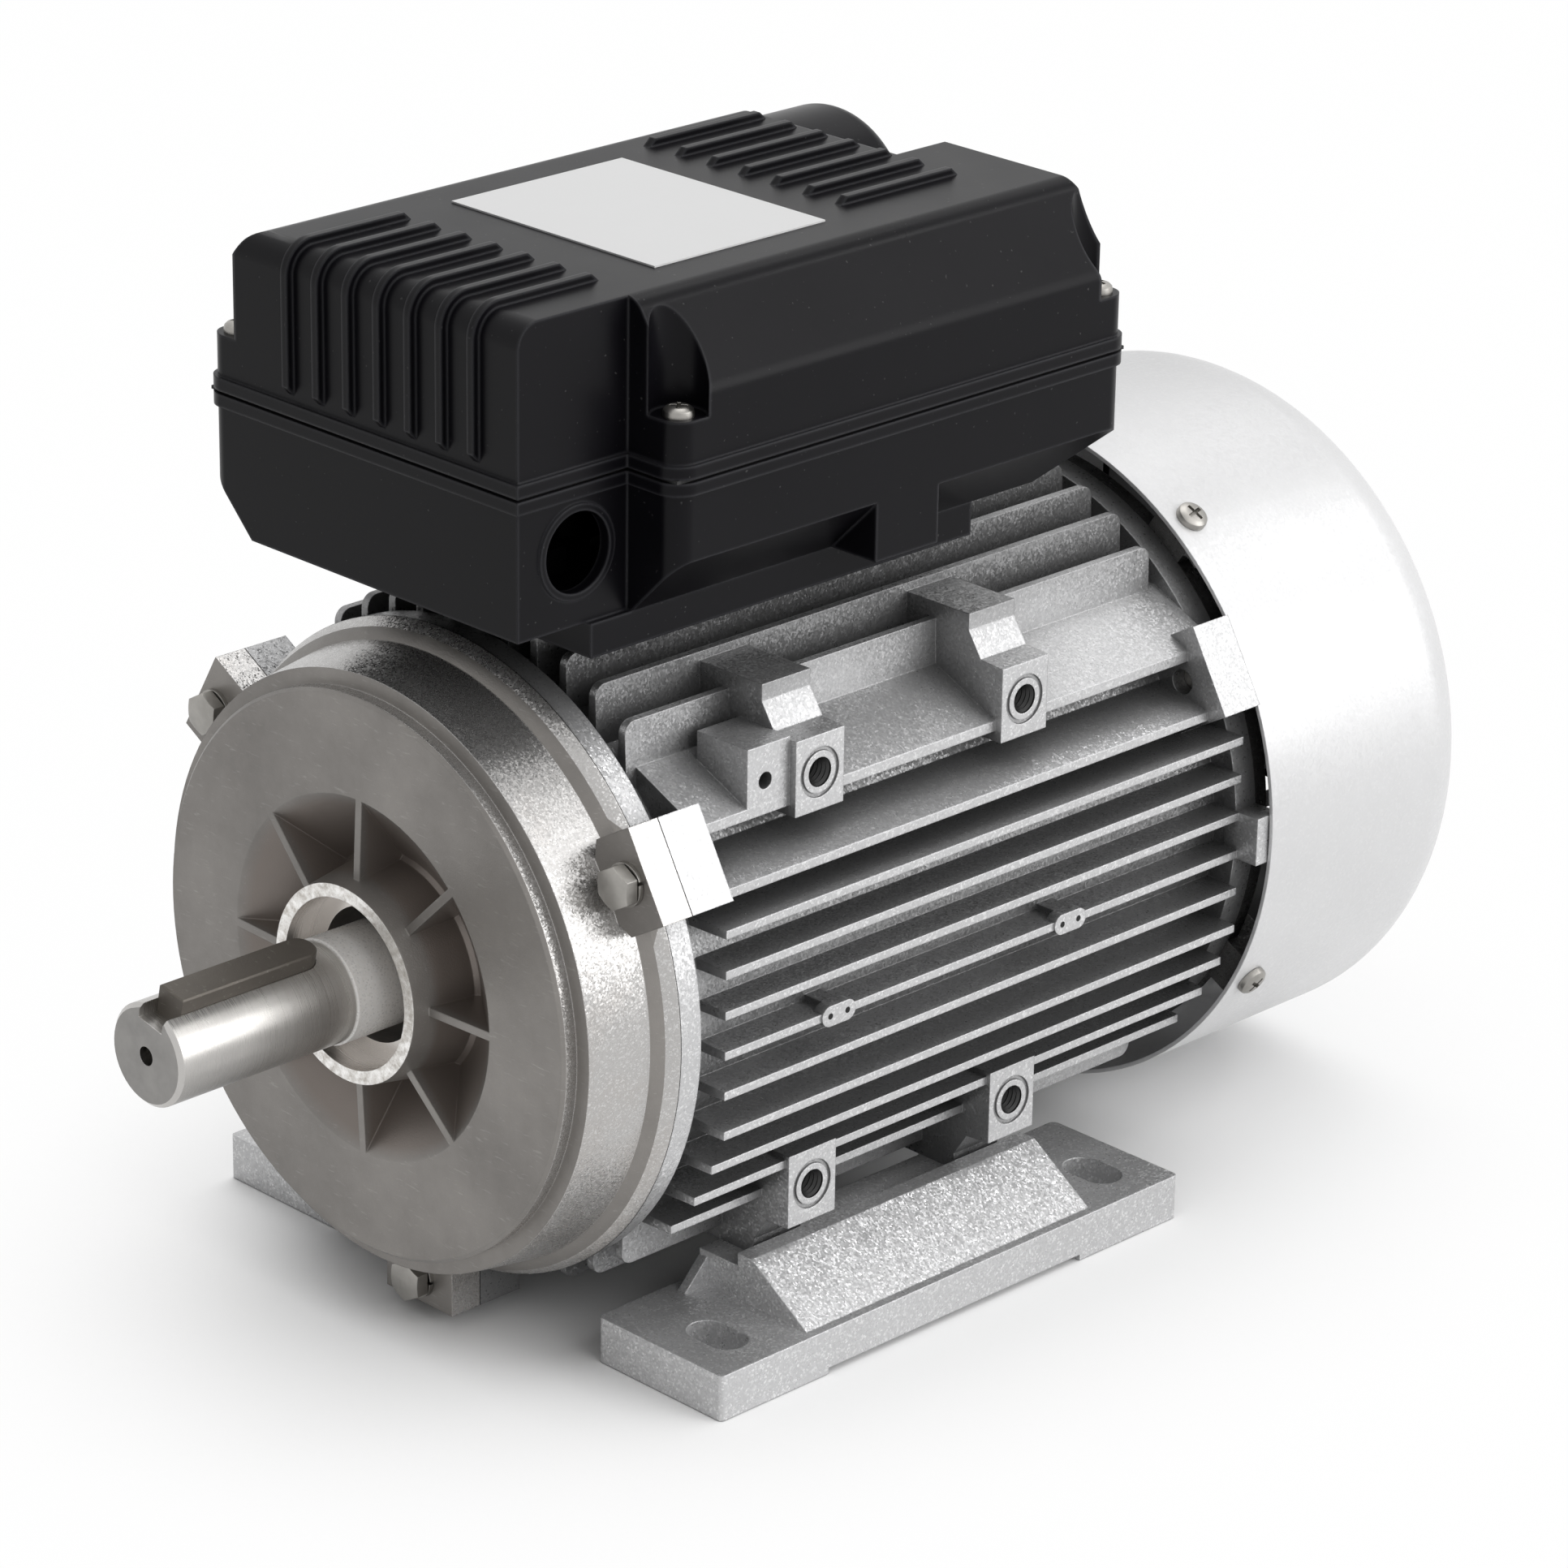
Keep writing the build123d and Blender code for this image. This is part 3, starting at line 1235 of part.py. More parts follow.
with BuildPart() as terminal_box_lid:
    with BuildSketch(across(box_front)) as lid_front_view:
        Polygon(*lid_section(0), align=None)
        fillet(lid_front_view.vertices().group_by(Axis.Y)[-1], radius=lid_edge_round)
        fillet(lid_front_view.vertices().group_by(Axis.Y)[1], radius=lid_edge_round)
    extrude(amount=box_front - box_rear)
    with BuildSketch(Plane.XY.offset(lid_bottom)) as lid_plan:
        Polygon(*box_plan(0), align=None)
        fillet(lid_plan.vertices().group_by(Axis.X)[0], radius=box_corner)
        fillet(lid_plan.vertices().group_by(Axis.X)[-1], radius=box_corner)
    extrude(amount=lid_top - lid_bottom, mode=Mode.INTERSECT)
    with BuildSketch(Plane.YZ.offset(-box_half_width)) as lid_side_view:
        Polygon(
            (box_front, lid_bottom),
            (box_front, lid_top),
            (box_rear, lid_top),
            (box_rear, lid_bottom),
            align=None,
        )
        front_corner = lid_side_view.vertices().sort_by(Axis.X)[:2].sort_by(Axis.Y)[-1]
        fillet(front_corner, radius=lid_edge_round)
    extrude(amount=2 * box_half_width, mode=Mode.INTERSECT)
    # the rear left corner drops round the capacitor
    with BuildSketch(across(hump_front)):
        Polygon(
            (-box_half_width - 1, hump_z),
            (lobe_edge, hump_z),
            (lobe_edge, lid_top - shaft_height + 1),
            (-box_half_width - 1, lid_top - shaft_height + 1),
            align=None,
        )
    extrude(amount=hump_front - box_rear, mode=Mode.SUBTRACT)
    # the rear right lobe slopes down to the rear wall
    with BuildSketch(Plane.YZ.offset(lobe_edge)):
        Polygon(
            (box_rear - lobe_drop, lid_top + 0.1),
            (box_rear + 0.1, lid_top - 2.5 * lobe_drop),
            (box_rear + 0.1, lid_top + 0.1),
            align=None,
        )
    extrude(amount=box_half_width, mode=Mode.SUBTRACT)
    add(hump.part)
    # ribs on the top
    for k in range(top_rib_count):
        x = (k - (top_rib_count - 1) / 2) * front_rib_pitch
        with BuildSketch(Plane.YZ.offset(x - top_rib_width / 2)) as rib_outline:
            Polygon(
                (front_rib_end, lid_top - 3),
                (front_rib_end, lid_top),
                (front_rib_end - 2, lid_top + top_rib_proud),
                (box_front - top_rib_proud, lid_top + top_rib_proud),
                (box_front - top_rib_proud, front_rib_bottom + 2),
                (box_front, front_rib_bottom),
                (box_front + 3, front_rib_bottom),
                (box_front + 3, lid_top - 6),
                (box_front + 6, lid_top - 3),
                align=None,
            )
            rib_corner = rib_outline.vertices().sort_by(Axis.X)[:2].sort_by(Axis.Y)[-1]
            fillet(rib_corner, radius=lid_edge_round + top_rib_proud)
        extrude(amount=top_rib_width)
        x = (k - (top_rib_count - 1) / 2) * rear_rib_pitch + rear_rib_shift
        with BuildSketch(Plane.YZ.offset(x - top_rib_width / 2)):
            Polygon(
                (rear_rib_start, lid_top - 1),
                (rear_rib_end, lid_top - 1),
                (rear_rib_end, lid_top),
                (rear_rib_end - 2, lid_top + top_rib_proud),
                (rear_rib_start + 2, lid_top + top_rib_proud),
                (rear_rib_start, lid_top),
                align=None,
            )
        extrude(amount=top_rib_width)
    # proud lip above the parting line
    with BuildSketch(Plane.XY.offset(lid_bottom)) as lid_lip:
        Polygon(*box_plan(-lip_proud), align=None)
        fillet(lid_lip.vertices().group_by(Axis.X)[0], radius=box_corner + lip_proud)
        fillet(lid_lip.vertices().group_by(Axis.X)[-1], radius=box_corner + lip_proud)
    extrude(amount=box_parting + lip_height - lid_bottom)
    add(lid_cavity.part, mode=Mode.SUBTRACT)
    # scoops over the screws, and the screw holes
    with BuildSketch(Plane.XY.offset(screw_ledge)):
        with Locations(*lid_screw_spots):
            Circle(scoop_radius)
    extrude(amount=lid_top - screw_ledge + 1, mode=Mode.SUBTRACT)
    with BuildSketch(Plane.XY.offset(lid_bottom)):
        with Locations(*lid_screw_spots):
            Circle(lid_screw_dia / 2 + fit_gap)
    extrude(amount=screw_ledge - lid_bottom, mode=Mode.SUBTRACT)
finish(terminal_box_lid, "terminal_box_lid")

with BuildPart() as lid_screws:
    with BuildSketch(Plane.XY.offset(screw_ledge)):
        with Locations(*lid_screw_spots):
            Circle(lid_screw_head / 2)
    extrude(amount=lid_head_height)
    chamfer(lid_screws.faces().filter_by(Axis.Z).sort_by(Axis.Z)[-4:].edges(), length=0.8)
    with BuildSketch(Plane.XY.offset(screw_ledge)):
        with Locations(*lid_screw_spots):
            Circle(lid_screw_dia / 2)
    extrude(amount=-(screw_ledge - base_top + 10))
finish(lid_screws, "lid_screws")

with BuildPart() as label_plate:
    with BuildSketch(Plane.XY.offset(lid_top)):
        with Locations((0, label_front + label_length / 2)):
            Rectangle(label_width, label_length)
    extrude(amount=label_thickness)
finish(label_plate, "label_plate")

# what the terminal box holds
floor_z = box_bottom + box_wall
board_top = floor_z + board_height
with BuildPart() as terminal_board:
    with BuildSketch(Plane.XY.offset(floor_z)):
        with Locations((0, board_y)):
            Rectangle(board_width, board_length)
    extrude(amount=board_height)
finish(terminal_board, "terminal_board")

with BuildPart() as terminal_studs:
    with BuildSketch(Plane.XY.offset(board_top)):
        with Locations((0, board_y)):
            with GridLocations(stud_pitch_x, stud_pitch_y, 3, 2):
                Circle(stud_dia / 2)
    extrude(amount=stud_height)
finish(terminal_studs, "terminal_studs")

with BuildPart() as terminal_links:
    for k in (-1, 1):
        with BuildSketch(Plane.XY.offset(board_top)):
            with Locations((k * stud_pitch_x, board_y)):
                SlotOverall(stud_pitch_y + 8, 8, rotation=90)
                with GridLocations(stud_pitch_x, stud_pitch_y, 1, 2):
                    Circle(stud_dia / 2 + fit_gap, mode=Mode.SUBTRACT)
        extrude(amount=link_thickness)
finish(terminal_links, "terminal_links")

with BuildPart() as terminal_nuts:
    with BuildSketch(Plane.XY.offset(board_top + link_thickness)):
        with Locations((0, board_y)):
            with GridLocations(stud_pitch_x, stud_pitch_y, 3, 2):
                RegularPolygon(nut_size / sqrt(3), 6)
                Circle(stud_dia / 2 + press_gap, mode=Mode.SUBTRACT)
    extrude(amount=nut_height)
finish(terminal_nuts, "terminal_nuts")

start_can_z = hump_z
run_can_z = lid_top - box_wall - capacitor_gap - run_can_radius - shaft_height
with BuildPart() as start_capacitor:
    with BuildSketch(across(can_rear - start_can_length)):
        with Locations((hump_x, start_can_z)):
            Circle(start_can_radius)
    extrude(amount=-start_can_length)
finish(start_capacitor, "start_capacitor")

with BuildPart() as run_capacitor:
    with BuildSketch(across(can_rear - run_can_length)):
        with Locations((run_can_x, run_can_z)):
            Circle(run_can_radius)
    extrude(amount=-run_can_length)
finish(run_capacitor, "run_capacitor")

with BuildPart() as capacitor_cradles:
    for y in (can_rear - 12 - cradle_pitch, can_rear - 12):
        with BuildSketch(across(y)):
            with Locations(((hump_x + run_can_x) / 2, (floor_z + 30) / 2 - shaft_height + floor_z / 2)):
                Rectangle(run_can_x - hump_x + 20, 30)
            with Locations((hump_x, start_can_z)):
                Circle(start_can_radius + fit_gap, mode=Mode.SUBTRACT)
            with Locations((run_can_x, run_can_z)):
                Circle(run_can_radius + fit_gap, mode=Mode.SUBTRACT)
        extrude(amount=-cradle_thickness)
finish(capacitor_cradles, "capacitor_cradles")

with BuildPart() as lead_sleeve:
    with BuildSketch(Plane.XY.offset(shaft_height + turn_outer + 1)):
        with Locations((0, lead_hole_y)):
            Circle(lead_hole_dia / 2 - 1)
            Circle(lead_hole_dia / 2 - 1 - lead_sleeve_wall, mode=Mode.SUBTRACT)
    extrude(amount=floor_z + 6 - shaft_height - turn_outer - 1)
finish(lead_sleeve, "lead_sleeve")

# the centrifugal start switch
governor_front = core_rear + cage_ring_length + 2
weight_front = governor_front + hub_disc_length + 2
weight_pivot_y = weight_front + weight_depth / 2
weight_pivot_x = weight_inner + weight_depth / 2
collar_rear = rear_seam - 1.5
collar_front = collar_rear - collar_length
with BuildPart() as governor_hub:
    turned(
        (governor_front - 1.8, body_dia / 2 + press_gap),
        (governor_front + hub_disc_length, body_dia / 2 + press_gap),
        (governor_front + hub_disc_length, hub_disc_radius),
        (governor_front, hub_disc_radius),
        (governor_front - 1.8, body_dia / 2 + 4),
    )
    for side in (1, -1):
        with BuildSketch(Plane.XY.offset(shaft_height)):
            with Locations((side * weight_pivot_x, (governor_front + weight_pivot_y + 3) / 2)):
                Rectangle(weight_depth, weight_pivot_y + 3 - governor_front)
        extrude(amount=weight_width / 2 + 2.3, both=True)
        with BuildSketch(Plane.XY.offset(shaft_height)):
            with Locations((side * weight_pivot_x, governor_front + hub_disc_length + 20)):
                Rectangle(weight_depth + 8, 40)
        extrude(amount=weight_width / 2 + 0.3, both=True, mode=Mode.SUBTRACT)
        with BuildSketch(Plane.XY.offset(shaft_height)):
            with Locations((side * weight_pivot_x, weight_pivot_y)):
                Circle(weight_pin_dia / 2 + press_gap)
        extrude(amount=weight_width, both=True, mode=Mode.SUBTRACT)
finish(governor_hub, "governor_hub")

for side, name in ((1, "flyweight_right"), (-1, "flyweight_left")):
    with BuildPart() as flyweight:
        with BuildSketch(Plane.XY.offset(shaft_height)):
            with Locations((side * weight_pivot_x, weight_front + weight_length / 2)):
                Rectangle(weight_depth, weight_length)
        extrude(amount=weight_width / 2, both=True)
        with BuildSketch(Plane.XY.offset(shaft_height)):
            with Locations((side * weight_pivot_x, weight_pivot_y)):
                Circle(weight_pin_dia / 2)
        extrude(amount=weight_width / 2 + 2.3, both=True)
    finish(flyweight, name)

with BuildPart() as governor_collar:
    turned(
        (collar_front, body_dia / 2 + press_gap),
        (collar_rear, body_dia / 2 + press_gap),
        (collar_rear, collar_flange_radius),
        (collar_rear - collar_flange, collar_flange_radius),
        (collar_rear - collar_flange, body_dia / 2 + collar_wall),
        (collar_front, body_dia / 2 + collar_wall),
    )
finish(governor_collar, "governor_collar")

arm_y = collar_rear + fit_gap
arm_pivot_y = arm_y + arm_thickness / 2
with BuildPart() as start_switch_plate:
    with BuildSketch(across(rear_seam + 0.4)):
        Circle(switch_plate_outer)
        Circle(switch_plate_inner, mode=Mode.SUBTRACT)
    extrude(amount=-switch_plate_thickness)
    with BuildSketch(Plane.XY.offset(shaft_height)):
        with Locations((arm_pivot_x, (arm_pivot_y - 2 + rear_seam + 0.6) / 2)):
            Rectangle(4, rear_seam + 0.6 - arm_pivot_y + 2)
    extrude(amount=arm_width / 2 + 2.3, both=True)
    with BuildSketch(Plane.XY.offset(shaft_height)):
        with Locations((arm_pivot_x, rear_seam - 9.6)):
            Rectangle(6, 20)
    extrude(amount=arm_width / 2 + 0.3, both=True, mode=Mode.SUBTRACT)
    with BuildSketch(Plane.XY.offset(shaft_height)):
        with Locations((arm_pivot_x, arm_pivot_y)):
            Circle(arm_pin_dia / 2 + press_gap)
    extrude(amount=arm_width, both=True, mode=Mode.SUBTRACT)
finish(start_switch_plate, "start_switch_plate")

with BuildPart() as switch_arm:
    with BuildSketch(Plane.XY.offset(shaft_height)):
        with Locations(((arm_pivot_x + 1 + collar_flange_radius - 4) / 2, arm_pivot_y)):
            Rectangle(arm_pivot_x + 1 - collar_flange_radius + 4, arm_thickness)
    extrude(amount=arm_width / 2, both=True)
    with BuildSketch(Plane.XY.offset(shaft_height)):
        with Locations((arm_pivot_x, arm_pivot_y)):
            Circle(arm_pin_dia / 2)
    extrude(amount=arm_width / 2 + 2.3, both=True)
finish(switch_arm, "switch_arm")
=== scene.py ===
import json
import math

import bmesh
import bpy
from mathutils import Matrix, Vector

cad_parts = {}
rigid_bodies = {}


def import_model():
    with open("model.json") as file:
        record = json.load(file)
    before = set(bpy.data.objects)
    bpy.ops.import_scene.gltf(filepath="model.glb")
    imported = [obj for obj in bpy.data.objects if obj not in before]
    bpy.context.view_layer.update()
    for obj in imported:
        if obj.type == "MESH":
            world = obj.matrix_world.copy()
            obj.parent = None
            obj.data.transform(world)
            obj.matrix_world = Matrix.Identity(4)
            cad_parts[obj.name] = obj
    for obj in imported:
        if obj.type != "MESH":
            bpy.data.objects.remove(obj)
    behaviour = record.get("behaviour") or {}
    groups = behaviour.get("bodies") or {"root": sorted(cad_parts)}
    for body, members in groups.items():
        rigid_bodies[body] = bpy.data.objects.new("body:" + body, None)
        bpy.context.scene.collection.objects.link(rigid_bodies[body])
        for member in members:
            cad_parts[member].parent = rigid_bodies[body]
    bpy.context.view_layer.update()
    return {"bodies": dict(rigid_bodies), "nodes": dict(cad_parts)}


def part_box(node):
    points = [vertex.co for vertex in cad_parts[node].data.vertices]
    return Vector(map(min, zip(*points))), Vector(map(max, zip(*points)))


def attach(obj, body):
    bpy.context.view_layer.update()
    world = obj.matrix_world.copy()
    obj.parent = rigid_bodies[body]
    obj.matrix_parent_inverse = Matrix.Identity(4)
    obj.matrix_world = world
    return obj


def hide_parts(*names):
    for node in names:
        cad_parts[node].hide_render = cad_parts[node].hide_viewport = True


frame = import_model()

bl_info = {
    "name": "Foot mounted motor",
    "version": (1, 0, 0),
    "blender": (4, 5, 0),
    "location": "3D View > Sidebar > Motor",
    "description": "Dresses the packed motor with castings, plastics, fasteners and a studio",
    "category": "Object",
}

MM = 0.001
SHAFT_HEIGHT = 0.09

# how far from the shaft's axis, and how far behind the front, the finishes of the front shield reach
RECESS_REACH, RECESS_BACK = 44.5 * MM, 24.0 * MM
FACE_BACK = 28.0 * MM
BORE_REACH, BORE_BACK = 23.45 * MM, 8.5 * MM
LIP_INNER, LIP_OUTER, LIP_BACK = 19.5 * MM, 23.6 * MM, 1.2 * MM
# inner and outer radius, and depth behind the front, of the painted shade in the front shield's recess
RECESS_FLOOR = (23.8 * MM, 43.2 * MM, 4.9 * MM)

# where the ground end of the shaft ends, and where its rough neck does
GROUND_LENGTH = 50.0 * MM
NECK_END = 95.0 * MM

# radii that the real feet's corners have
SMALL_OUTER_CORNER, SMALL_INNER_CORNER = 1.2 * MM, 1.8 * MM


# sizes and colours

def length_setting(name, description, millimetres):
    """A length, its default in millimetres."""
    return bpy.props.FloatProperty(
        name=name, description=description, default=millimetres * MM, unit="LENGTH")


def strength_setting(name, description, value):
    """A lamp's power, or another strength."""
    return bpy.props.FloatProperty(name=name, description=description, default=value, min=0.0)


def colour_setting(name, description, red, green, blue):
    """A colour."""
    return bpy.props.FloatVectorProperty(
        name=name, description=description, subtype="COLOR", size=4, default=(red, green, blue, 1.0))


class MotorCastSettings(bpy.types.PropertyGroup):
    """Castings: housing, end shields and feet."""

    edge: length_setting("Edge radius", "Radius that catches light along cast edges", 0.45)
    grain: length_setting("Grain size", "Size of the blasted grain", 0.48)
    # painted shade: the channels between the fins are darkened up to this depth
    channel_depth: length_setting(
        "Channel depth", "Depth at which the channels between fins keep darker skin", 14.0)
    pad_face: length_setting("Pad face", "Distance of the pad faces from the middle", 70.0)
    pad_pitch: length_setting("Pad pitch", "Spacing of the pads along the shaft", 66.0)
    pad_drop: length_setting("Pad drop", "Height of the pad holes from the shaft", 50.5)
    pad_hole_radius: length_setting("Pad hole radius", "Radius of the pad holes", 3.5)
    plate_height: length_setting("Plate height", "Thickness of a foot's plate", 12.0)
    outer_corner: length_setting("Outer corner", "CAD radius of the foot's outer corners", 3.0)
    inner_corner: length_setting("Inner corner", "CAD radius of the foot's inner corners", 8.0)
    tab_face: length_setting("Tab face", "Distance of the tab faces from the middle", 78.5)
    tab_front: length_setting("Front tab", "Place of the front tabs along the shaft", -34.0)
    tab_rear: length_setting("Rear tab", "Place of the rear tabs along the shaft", 42.0)
    tab_height: length_setting("Tab height", "Height of the tabs above the floor", 85.15)
    housing_colour: colour_setting(
        "Housing colour", "Blasted aluminium of the housing and feet", 0.6, 0.6, 0.605)
    shield_colour: colour_setting("Shield colour", "Aluminium of the end shields", 0.52, 0.51, 0.50)
    # painted shade: the forward faces of the front shield get this darker colour for the shade on the front
    # side, over a duller cast face
    dull_shaded_face_colour: colour_setting(
        "Shield face colour", "Duller front-facing metal of the end shield", 0.26, 0.245, 0.23)


class MotorPlasticSettings(bpy.types.PropertyGroup):
    """Moulded plastics, the painted cover and the label."""

    box_colour: colour_setting("Box colour", "Black of the terminal box and lid", 0.0046, 0.0043, 0.0058)
    box_roughness: bpy.props.FloatProperty(
        name="Box roughness", description="Roughness of the moulded box", default=0.3, min=0.0, max=1.0)
    cover_colour: colour_setting("Cover colour", "Pale silver of the fan cover", 0.74, 0.74, 0.745)
    label_colour: colour_setting("Label colour", "Bare label plate", 0.84, 0.84, 0.84)


class MotorSteelSettings(bpy.types.PropertyGroup):
    """Shaft, key and fasteners."""

    shaft_colour: colour_setting("Shaft colour", "Ground steel of the shaft", 0.58, 0.565, 0.545)
    key_colour: colour_setting("Key colour", "Dark drawn steel of the key", 0.12, 0.107, 0.092)
    zinc_colour: colour_setting("Zinc colour", "Zinc plated fasteners", 0.42, 0.405, 0.38)
    bolt_flats: length_setting("Bolt flats", "Width across the flats of the shield bolts", 9.0)
    bolt_head_height: length_setting("Bolt head height", "Height of a hexagon head", 3.4)
    bolt_radius: length_setting("Bolt radius", "Radius of a shield bolt", 3.0)
    lid_head_radius: length_setting("Lid screw head", "Radius of a lid screw's head", 3.5)
    lid_head_height: length_setting("Lid head height", "Height of a lid screw's head", 2.4)
    cover_head_radius: length_setting("Cover screw head", "Radius of a cover screw's head", 3.9)
    cover_head_height: length_setting("Cover head height", "Height of a cover screw's head", 2.2)
    thread_pitch: length_setting("Thread pitch", "Pitch of the threads in the pad holes", 1.25)


class MotorStageSettings(bpy.types.PropertyGroup):
    """Floor, lamps and camera."""

    lens: bpy.props.FloatProperty(
        name="Lens", description="Focal length of the camera", default=135.87, unit="CAMERA")
    key_power: strength_setting("Key lamp", "Power of the lamp above the right side", 14.5)
    side_power: strength_setting("Side lamp", "Power of the low lamp at the right", 16.5)
    top_power: strength_setting("Top lamp", "Power of the wide lamp above", 18.0)
    glint_power: strength_setting(
        "Glint lamp", "Power of the small lamp behind, which draws bright edges", 3.0)
    ambient: strength_setting("Ambient", "Strength of the light all round", 0.28)
    shadow_reach: length_setting("Shadow reach", "How far the object darkens the white floor", 160.0)
    dark_side: strength_setting("Dark side", "Strength of the light from the shaded side", 0.05)
    light_from: bpy.props.FloatVectorProperty(
        name="Light from", description="Direction of the brighter half of the surroundings",
        subtype="DIRECTION", default=(0.86, 0.1, 0.5))
    floor_colour: colour_setting("Floor colour", "Pale floor", 0.93, 0.93, 0.93)


# node building

class Nodes:
    """Adds and joins the nodes of one tree."""

    def __init__(self, tree):
        self.tree = tree
        tree.nodes.clear()

    def add(self, kind, **values):
        """A new node, with its settings."""
        node = self.tree.nodes.new(kind)
        for key, value in values.items():
            setattr(node, key, value)
        return node

    def link(self, a, a_socket, b, b_socket):
        """Join an output of one node to an input of another."""
        self.tree.links.new(a.outputs[a_socket], b.inputs[b_socket])

    def feed(self, value, node, socket):
        """Give an input a value, or join an output to it."""
        if isinstance(value, bpy.types.NodeSocket):
            self.tree.links.new(value, node.inputs[socket])
        else:
            node.inputs[socket].default_value = value

    def spread(self, value, low, high, to_low, to_high, curve="LINEAR"):
        """An output's range, spread over another."""
        node = self.add("ShaderNodeMapRange", interpolation_type=curve)
        limits = {"From Min": low, "From Max": high, "To Min": to_low, "To Max": to_high, "Value": value}
        for socket, limit in limits.items():
            self.feed(limit, node, socket)
        return node.outputs["Result"]

    def combine(self, operation, first, second=0.0):
        """Two values or outputs, combined by an operation."""
        node = self.add("ShaderNodeMath", operation=operation)
        self.feed(first, node, 0)
        self.feed(second, node, 1)
        return node.outputs[0]

    def vector(self, operation, first, second=(0, 0, 0), result="Vector"):
        """Two vectors, combined by an operation."""
        node = self.add("ShaderNodeVectorMath", operation=operation)
        self.feed(first, node, 0)
        self.feed(second, node, 1)
        return node.outputs[result]

    def seen(self):
        """1 for what the camera sees, in metal and through glass too."""
        path = self.add("ShaderNodeLightPath")
        seen = path.outputs["Is Camera Ray"]
        for kind in ("Is Glossy Ray", "Is Transmission Ray"):
            seen = self.combine("MAXIMUM", seen, path.outputs[kind])
        return seen

    def shown(self, mask, first, second, out):
        """Give the tree's output one shader, and a second one where a mask is 1."""
        both = self.add("ShaderNodeMixShader")
        for socket, output in enumerate((mask, first.outputs[0], second.outputs[0])):
            self.feed(output, both, socket)
        self.link(both, "Shader", out, "Surface")


class Shades(Nodes):
    """The nodes of one material."""

    def __init__(self, name):
        self.material = bpy.data.materials.new(name)
        self.material.use_nodes = True
        super().__init__(self.material.node_tree)
        self.out = self.add("ShaderNodeOutputMaterial")
        self.shader = self.add("ShaderNodeBsdfPrincipled")
        self.link(self.shader, "BSDF", self.out, "Surface")
        self.place = self.add("ShaderNodeTexCoord").outputs["Object"]

    def stretched(self, scale):
        """Coordinates of the object, scaled along each axis."""
        mapping = self.add("ShaderNodeMapping")
        mapping.inputs["Scale"].default_value = scale
        self.feed(self.place, mapping, "Vector")
        return mapping.outputs["Vector"]

    def noise(self, scale, detail=3.0, rough=0.55, place=None):
        """Noise on the object, or on stretched coordinates."""
        node = self.add("ShaderNodeTexNoise")
        node.inputs["Scale"].default_value = scale
        node.inputs["Detail"].default_value = detail
        node.inputs["Roughness"].default_value = rough
        self.feed(self.place if place is None else place, node, "Vector")
        return node.outputs["Fac"]

    def over(self, base, mask, colour):
        """Lay a colour over another, or over a mix, where a mask is 1."""
        node = self.add("ShaderNodeMix", data_type="RGBA")
        for socket, value in ((0, mask), (6, base), (7, colour)):
            self.feed(value, node, socket)
        return node.outputs[2]

    def tint(self, noise, low, high, first, second):
        """Mix two colours by noise: the first up to low, the second from high."""
        return self.over(first, self.spread(noise, low, high, 0.0, 1.0), second)

    def rounded(self, radius, samples):
        """The normal, with edges rounded to a radius."""
        node = self.add("ShaderNodeBevel", samples=samples)
        node.inputs["Radius"].default_value = radius
        return node.outputs["Normal"]

    def bump(self, height, strength, distance, edge=0.0):
        """Bump from a texture, on edges rounded to a radius."""
        node = self.add("ShaderNodeBump")
        node.inputs["Strength"].default_value = strength
        node.inputs["Distance"].default_value = distance
        self.feed(height, node, "Height")
        if edge > 0:
            self.feed(self.rounded(edge, 4), node, "Normal")
        return node.outputs["Normal"]

    def openness(self, reach, samples):
        """1 in the open, less where surfaces within a reach close a place in."""
        node = self.add("ShaderNodeAmbientOcclusion", samples=samples)
        node.inputs["Distance"].default_value = reach
        return node.outputs["AO"]

    def painted_shelter_shade(self, base, reach, closed, clear, most, dark):
        """Lay painted shade over enclosed places: none where clear, most of it where closed."""
        return self.over(base, self.spread(self.openness(reach, 6), closed, clear, most, 0.0), dark)

    def painted_edge_highlight(self, reach):
        """Share of painted highlight: most on an edge or a fillet, none on a flat face."""
        flat = self.add("ShaderNodeNewGeometry").outputs["Normal"]
        alike = self.vector("DOT_PRODUCT", self.rounded(reach, 6), flat, result="Value")
        return self.spread(alike, 0.86, 0.995, 0.75, 0.0)

    def tilted(self, facets, amount, normal):
        """The normal, with each small facet tilted its own way."""
        shift = self.vector("SUBTRACT", facets, (0.5, 0.5, 0.5))
        size = self.vector("MULTIPLY", shift, (amount, amount, amount))
        return self.vector("NORMALIZE", self.vector("ADD", normal, size))

    def coordinate(self, axis):
        """One coordinate of the object."""
        parts = self.add("ShaderNodeSeparateXYZ")
        self.feed(self.place, parts, "Vector")
        return parts.outputs[axis]

    def from_shaft(self):
        """Distance from the axis of the shaft."""
        across = self.coordinate("X")
        up = self.combine("SUBTRACT", self.coordinate("Z"), SHAFT_HEIGHT)
        squares = [self.combine("MULTIPLY", side, side) for side in (across, up)]
        return self.combine("SQRT", self.combine("ADD", *squares))

    def within(self, value, low, high, soft):
        """1 between two values of a coordinate, with soft ends."""
        rise = self.spread(value, low - soft, low + soft, 0.0, 1.0)
        fall = self.spread(value, high + soft, high - soft, 0.0, 1.0)
        return self.combine("MULTIPLY", rise, fall)

    def set(self, **values):
        """Inputs of the shader, from values or outputs."""
        names = {"colour": "Base Color", "metallic": "Metallic", "roughness": "Roughness",
                 "specular": "Specular IOR Level", "normal": "Normal"}
        for key, value in values.items():
            self.feed(value, self.shader, names[key])


# finishes

def darker(colour, share):
    """A share of a colour, which may be above 1."""
    return (colour[0] * share, colour[1] * share, colour[2] * share, 1.0)


